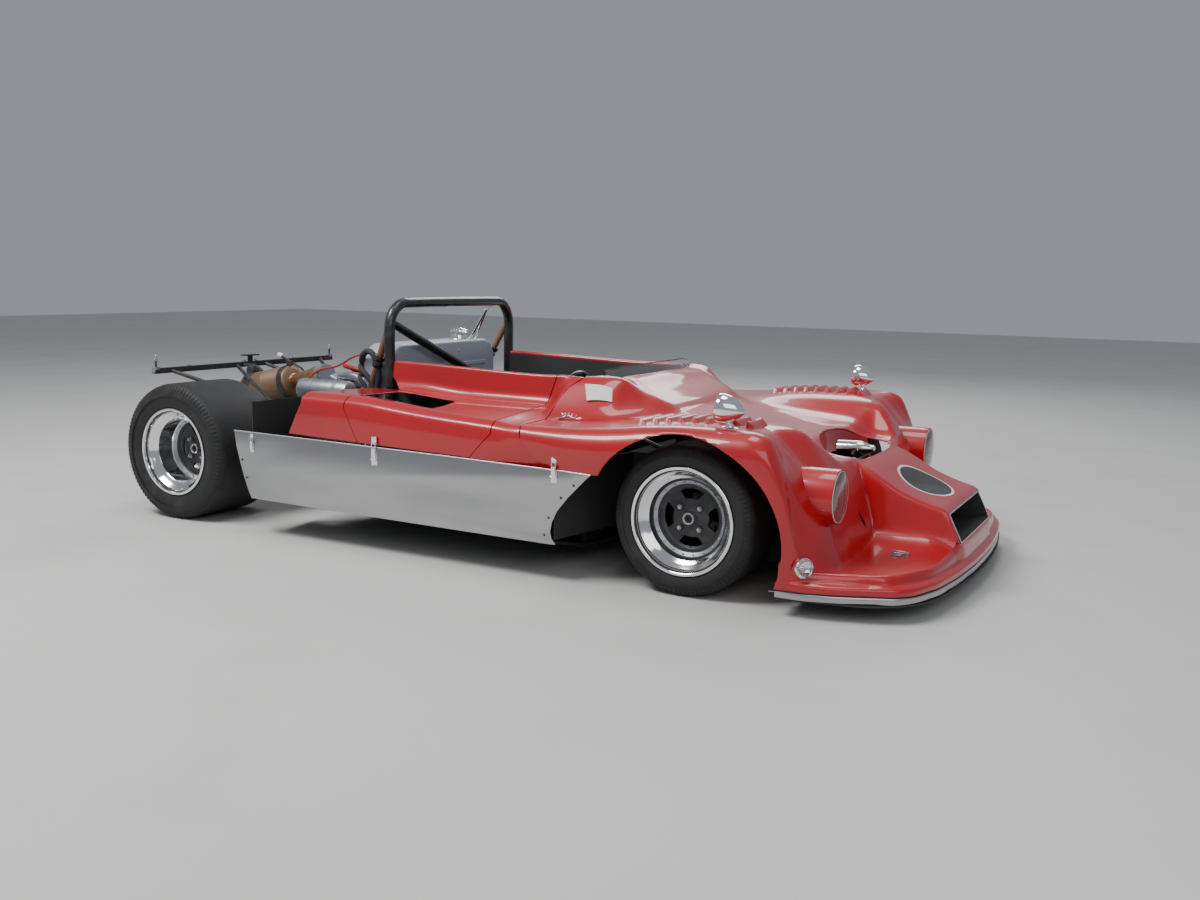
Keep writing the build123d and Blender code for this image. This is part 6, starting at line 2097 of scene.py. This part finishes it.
@dataclass
class RearFrame(Assembly):
    """The small fittings of the bar across the tail, the gearbox's castings and the catch rod."""

    x: float = -2694.0
    half: float = 580.0
    z: float = 586.0
    axle: float = -2311.0

    def gearbox(self) -> Piece:
        """Returns the ribs, covers, bolts and starter on the gearbox."""
        parts = []
        for y in (-78, -40, 0, 40, 78):
            parts.append(block("rib", (-2606, y - 4, 362), (-2380, y + 4, 374), 2.5))
            parts.append(block("rib", (-2270, y - 4, 398), (-2150, y + 4, 410), 2.5))
        parts.append(block("rear_cover", (-2622, -70, 164), (-2608, 70, 356), 5, 3))
        for c, s in around(12):
            across, high = (max(-1, min(1, 1.3 * v)) for v in (c, s))
            parts.append(bolt((-2621, 62 * across, 260 + 88 * high), 7, 4, (-1, 0, 0)))
        selector = [(-6, 0), (-6, 30), (10, 30), (16, 24), (16, 11), (60, 11), (64, 8), (64, 0)]
        parts.append(turned("selector", selector, (-2616, 20, 318), (-1, 0, 0), 28))
        flange = [(0, 0), (0, 88), (8, 88), (10, 84), (10, 60), (26, 56), (26, 0)]
        for side in (-1, 1):
            low, high = sorted((side * 72, side * 92))
            for z in (190, 250, 310):
                parts.append(block("side_rib", (-2600, low, z - 4), (-2430, high, z + 4), 2.5))
            parts.append(turned("side_flange", flange, (self.axle, side * 104, 285), (0, side, 0), 48))
            for c, s in around(10):
                parts.append(bolt((self.axle + 76 * c, side * 112, 285 + 76 * s), 7, 4, (0, side, 0)))
        motor = [(0, 0), (0, 34), (6, 38), (120, 38), (126, 32), (128, 0)]
        parts.append(turned("starter", motor, (-2140, -150, 330), (-1, 0.12, 0), 36))
        return join("gearbox_fittings", parts)

    def build(self) -> None:
        """Builds the frame's visible dressing over the plain bar and struts."""
        x, z = self.x, self.z
        self.dress(self.gearbox(), CASTING)
        parts = []
        pin = [(0, 0), (0, 5), (52, 5), (58, 2.4), (60, 0)]
        cap = [(0, 0), (0, 11), (2, 11), (3, 9), (3, 0)]
        for side in (-1, 1):
            y = side * (self.half - 12)
            clip = [(x, y - 9, z + 50), (x, y, z + 56), (x, y + 9, z + 50), (x, y + 14, z + 40)]
            parts += [
                turned("collar", solid(-6, 6, 17), (x, y, z + 12), UP, 24),
                turned("pin", pin, (x, y, z + 12), UP, 16),
                pipe("clip", clip, 1.6),
                turned("cap", cap, (x, side * self.half, z), (0, side, 0), 4, 20),
            ]
        parts += [bolt((x, y, z + 12), 9, 5, height=9) for y in (-380, -40, 40, 300)]
        self.dress(join("bar_fittings", parts), STEEL)
        line = [(-2672, 194, 612), (-2537, 190, 559), (-2440, 150, 500)]
        rod = pipe("catch_rod", line, 6, smooth=False)
        knob = [(-14, 0), (-14, 9), (-8, 12), (8, 12), (14, 9), (14, 0)]
        tip = turned("catch_tip", knob, (-2682, 194, 618), (0.9, 0, -0.38), 24)
        self.dress(rod, BLACK_TUBE)
        self.dress(tip, WHITE)


@dataclass
class Springs(Assembly):
    """The coil springs round the dampers."""

    def build(self) -> None:
        """Builds a spring on each damper of the plain model, along its own length."""
        for node, count in (("front_dampers", 8), ("rear_dampers", 9)):
            coils = []
            for low, high in self.axes(node):
                run = high - low
                out = run.orthogonal().normalized() * 34 * MM
                line = []
                for i in range(count * 12 + 1):
                    share = 0.16 + 0.66 * i / (count * 12)
                    turn = Matrix.Rotation(2 * math.pi * i / 12, 3, run)
                    spot = low + run * share + turn @ out
                    line.append((spot.x / MM - FRONT_AXLE_X, spot.y / MM, spot.z / MM))
                coils.append(pipe("coil", line, 5, sides=2, bends=2))
            self.dress(join(f"{node}_springs", coils), BLACK_TUBE)

    def axes(self, node: str) -> list[tuple[Vector, Vector]]:
        """Finds the lower and upper ends of each damper in the node, left and right.

        Args:
            node: the dampers' plain node.

        Returns:
            Pairs of a lower and an upper end.
        """
        spots = [v.co.copy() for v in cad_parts[node].data.vertices]
        ends = []
        for side in (-1, 1):
            mine = sorted((p for p in spots if p.y * side > 0), key=lambda p: p.z)
            low = sum(mine[:40], Vector()) / 40
            high = sum(mine[-40:], Vector()) / 40
            ends.append((low, high))
        return ends


@dataclass
class PlainPieces(Assembly):
    """The finishes of the pieces that are carried over from the plain model."""

    table: tuple[tuple[Finish, str], ...] = (
        (BLACK_PANEL, "undertray footwell front_wheelhouses inner_panels dashboard tub_floor tub_sides"),
        (PLAIN_ALUMINIUM, "radiator rack_housing rear_uprights"),
        (CASTING, "gearbox knuckle_front_left knuckle_front_right"),
        (STEEL, "rear_links steering_rack drive_shaft_left drive_shaft_right front_dampers rear_dampers"),
        (DARK_ALLOY, "rear_bearer"), (BLACK_TUBE, "front_wishbones"),
    )

    def build(self) -> None:
        """Gives each its finish."""
        for finish, names in self.table:
            for name in names.split():
                piece = bpy.data.objects.get(name)
                if piece is None:
                    log.info("%s isn't in the model", name)
                    continue
                piece.data.materials.clear()
                piece.data.materials.append(finish.material())
                log.info("%s: plain piece", name)


@dataclass
class Studio:
    """The plain floor, the soft lights and the camera."""

    eye: Point = (1504.0, -4129.0, 1042.0)
    yaw: float = 28.42
    pitch: float = 8.64
    roll: float = 1.00
    focal: float = 34.37

    def floor(self) -> None:
        """Lays a plain pale floor under the car."""
        clear()
        bpy.ops.mesh.primitive_plane_add(size=40, location=(0, 0, 0))
        ground = bpy.context.object
        ground.name = "studio_floor"
        plain = Finish("studio_floor", "", (0.60, 0.59, 0.57), (0.57, 0.56, 0.54), 0.8, 0.05, scale=2.0)
        ground.data.materials.append(plain.material())

    def light(self) -> None:
        """Hangs large soft lights and sets an even sky."""
        lamps = (
            ("key_light", (-2.2, -3.6, 6.0), 3.4, 430.0),
            ("fill_light", (4.5, -4.5, 3.5), 5.0, 80.0),
            ("back_light", (-1.5, 5.5, 4.5), 4.0, 150.0),
            ("top_light", (1.0, 0.0, 6.5), 3.0, 90.0),
        )
        for name, spot, size, power in lamps:
            clear()
            bpy.ops.object.light_add(type="AREA", location=spot)
            lamp = bpy.context.object
            lamp.name = name
            lamp.data.shape = "RECTANGLE"
            lamp.data.size = size
            lamp.data.size_y = size * 0.6
            lamp.data.energy = power
            lamp.rotation_euler = (-Vector(spot)).to_track_quat("-Z", "Y").to_euler()
        world = bpy.data.worlds.new("sky")
        bpy.context.scene.world = world
        world.use_nodes = True
        world.node_tree.nodes["Background"].inputs["Color"].default_value = (0.80, 0.86, 0.95, 1)
        world.node_tree.nodes["Background"].inputs["Strength"].default_value = 0.36

    def camera(self) -> None:
        """Sets the camera where the picture was taken from."""
        clear()
        yaw, pitch, roll = (math.radians(a) for a in (self.yaw, self.pitch, self.roll))
        level = math.cos(pitch)
        forward = Vector((-math.sin(yaw) * level, math.cos(yaw) * level, -math.sin(pitch)))
        right = Vector((math.cos(yaw), math.sin(yaw), 0))
        up = right.cross(forward)
        across = right * math.cos(roll) + up * math.sin(roll)
        raised = up * math.cos(roll) - right * math.sin(roll)
        bpy.ops.object.camera_add(location=place(*self.eye))
        camera = bpy.context.object
        camera.rotation_euler = Matrix((across, raised, -forward)).transposed().to_euler()
        camera.data.lens = self.focal
        camera.data.sensor_width = 36.0
        camera.data.clip_end = 100
        bpy.context.scene.camera = camera

    def build(self) -> None:
        """Builds the studio."""
        self.floor()
        self.light()
        self.camera()


def main() -> None:
    """Builds the studio and every sub-assembly."""
    logging.basicConfig(level=logging.INFO, format="%(message)s")
    rear = Wheel(
        name="rear", x=-2311.0, radius=285.0, lip_y=828.0, inner_y=484.0, tread=344.0, hub_depth=140.0,
        step_finish=POLISHED,
    )
    assemblies = (
        Studio(), FrontBody(), SplitterLip(), SidePanels(), Skirts(), Wheel(), rear, Lamps(), Mirrors(),
        Nose(), Louvres(), Cockpit(), RollHoop(), FuelTank(), Exhaust(), Engine(), RearFrame(), Springs(),
        PlainPieces(),
    )
    for assembly in assemblies:
        assembly.build()


if __name__ == "__main__":
    main()
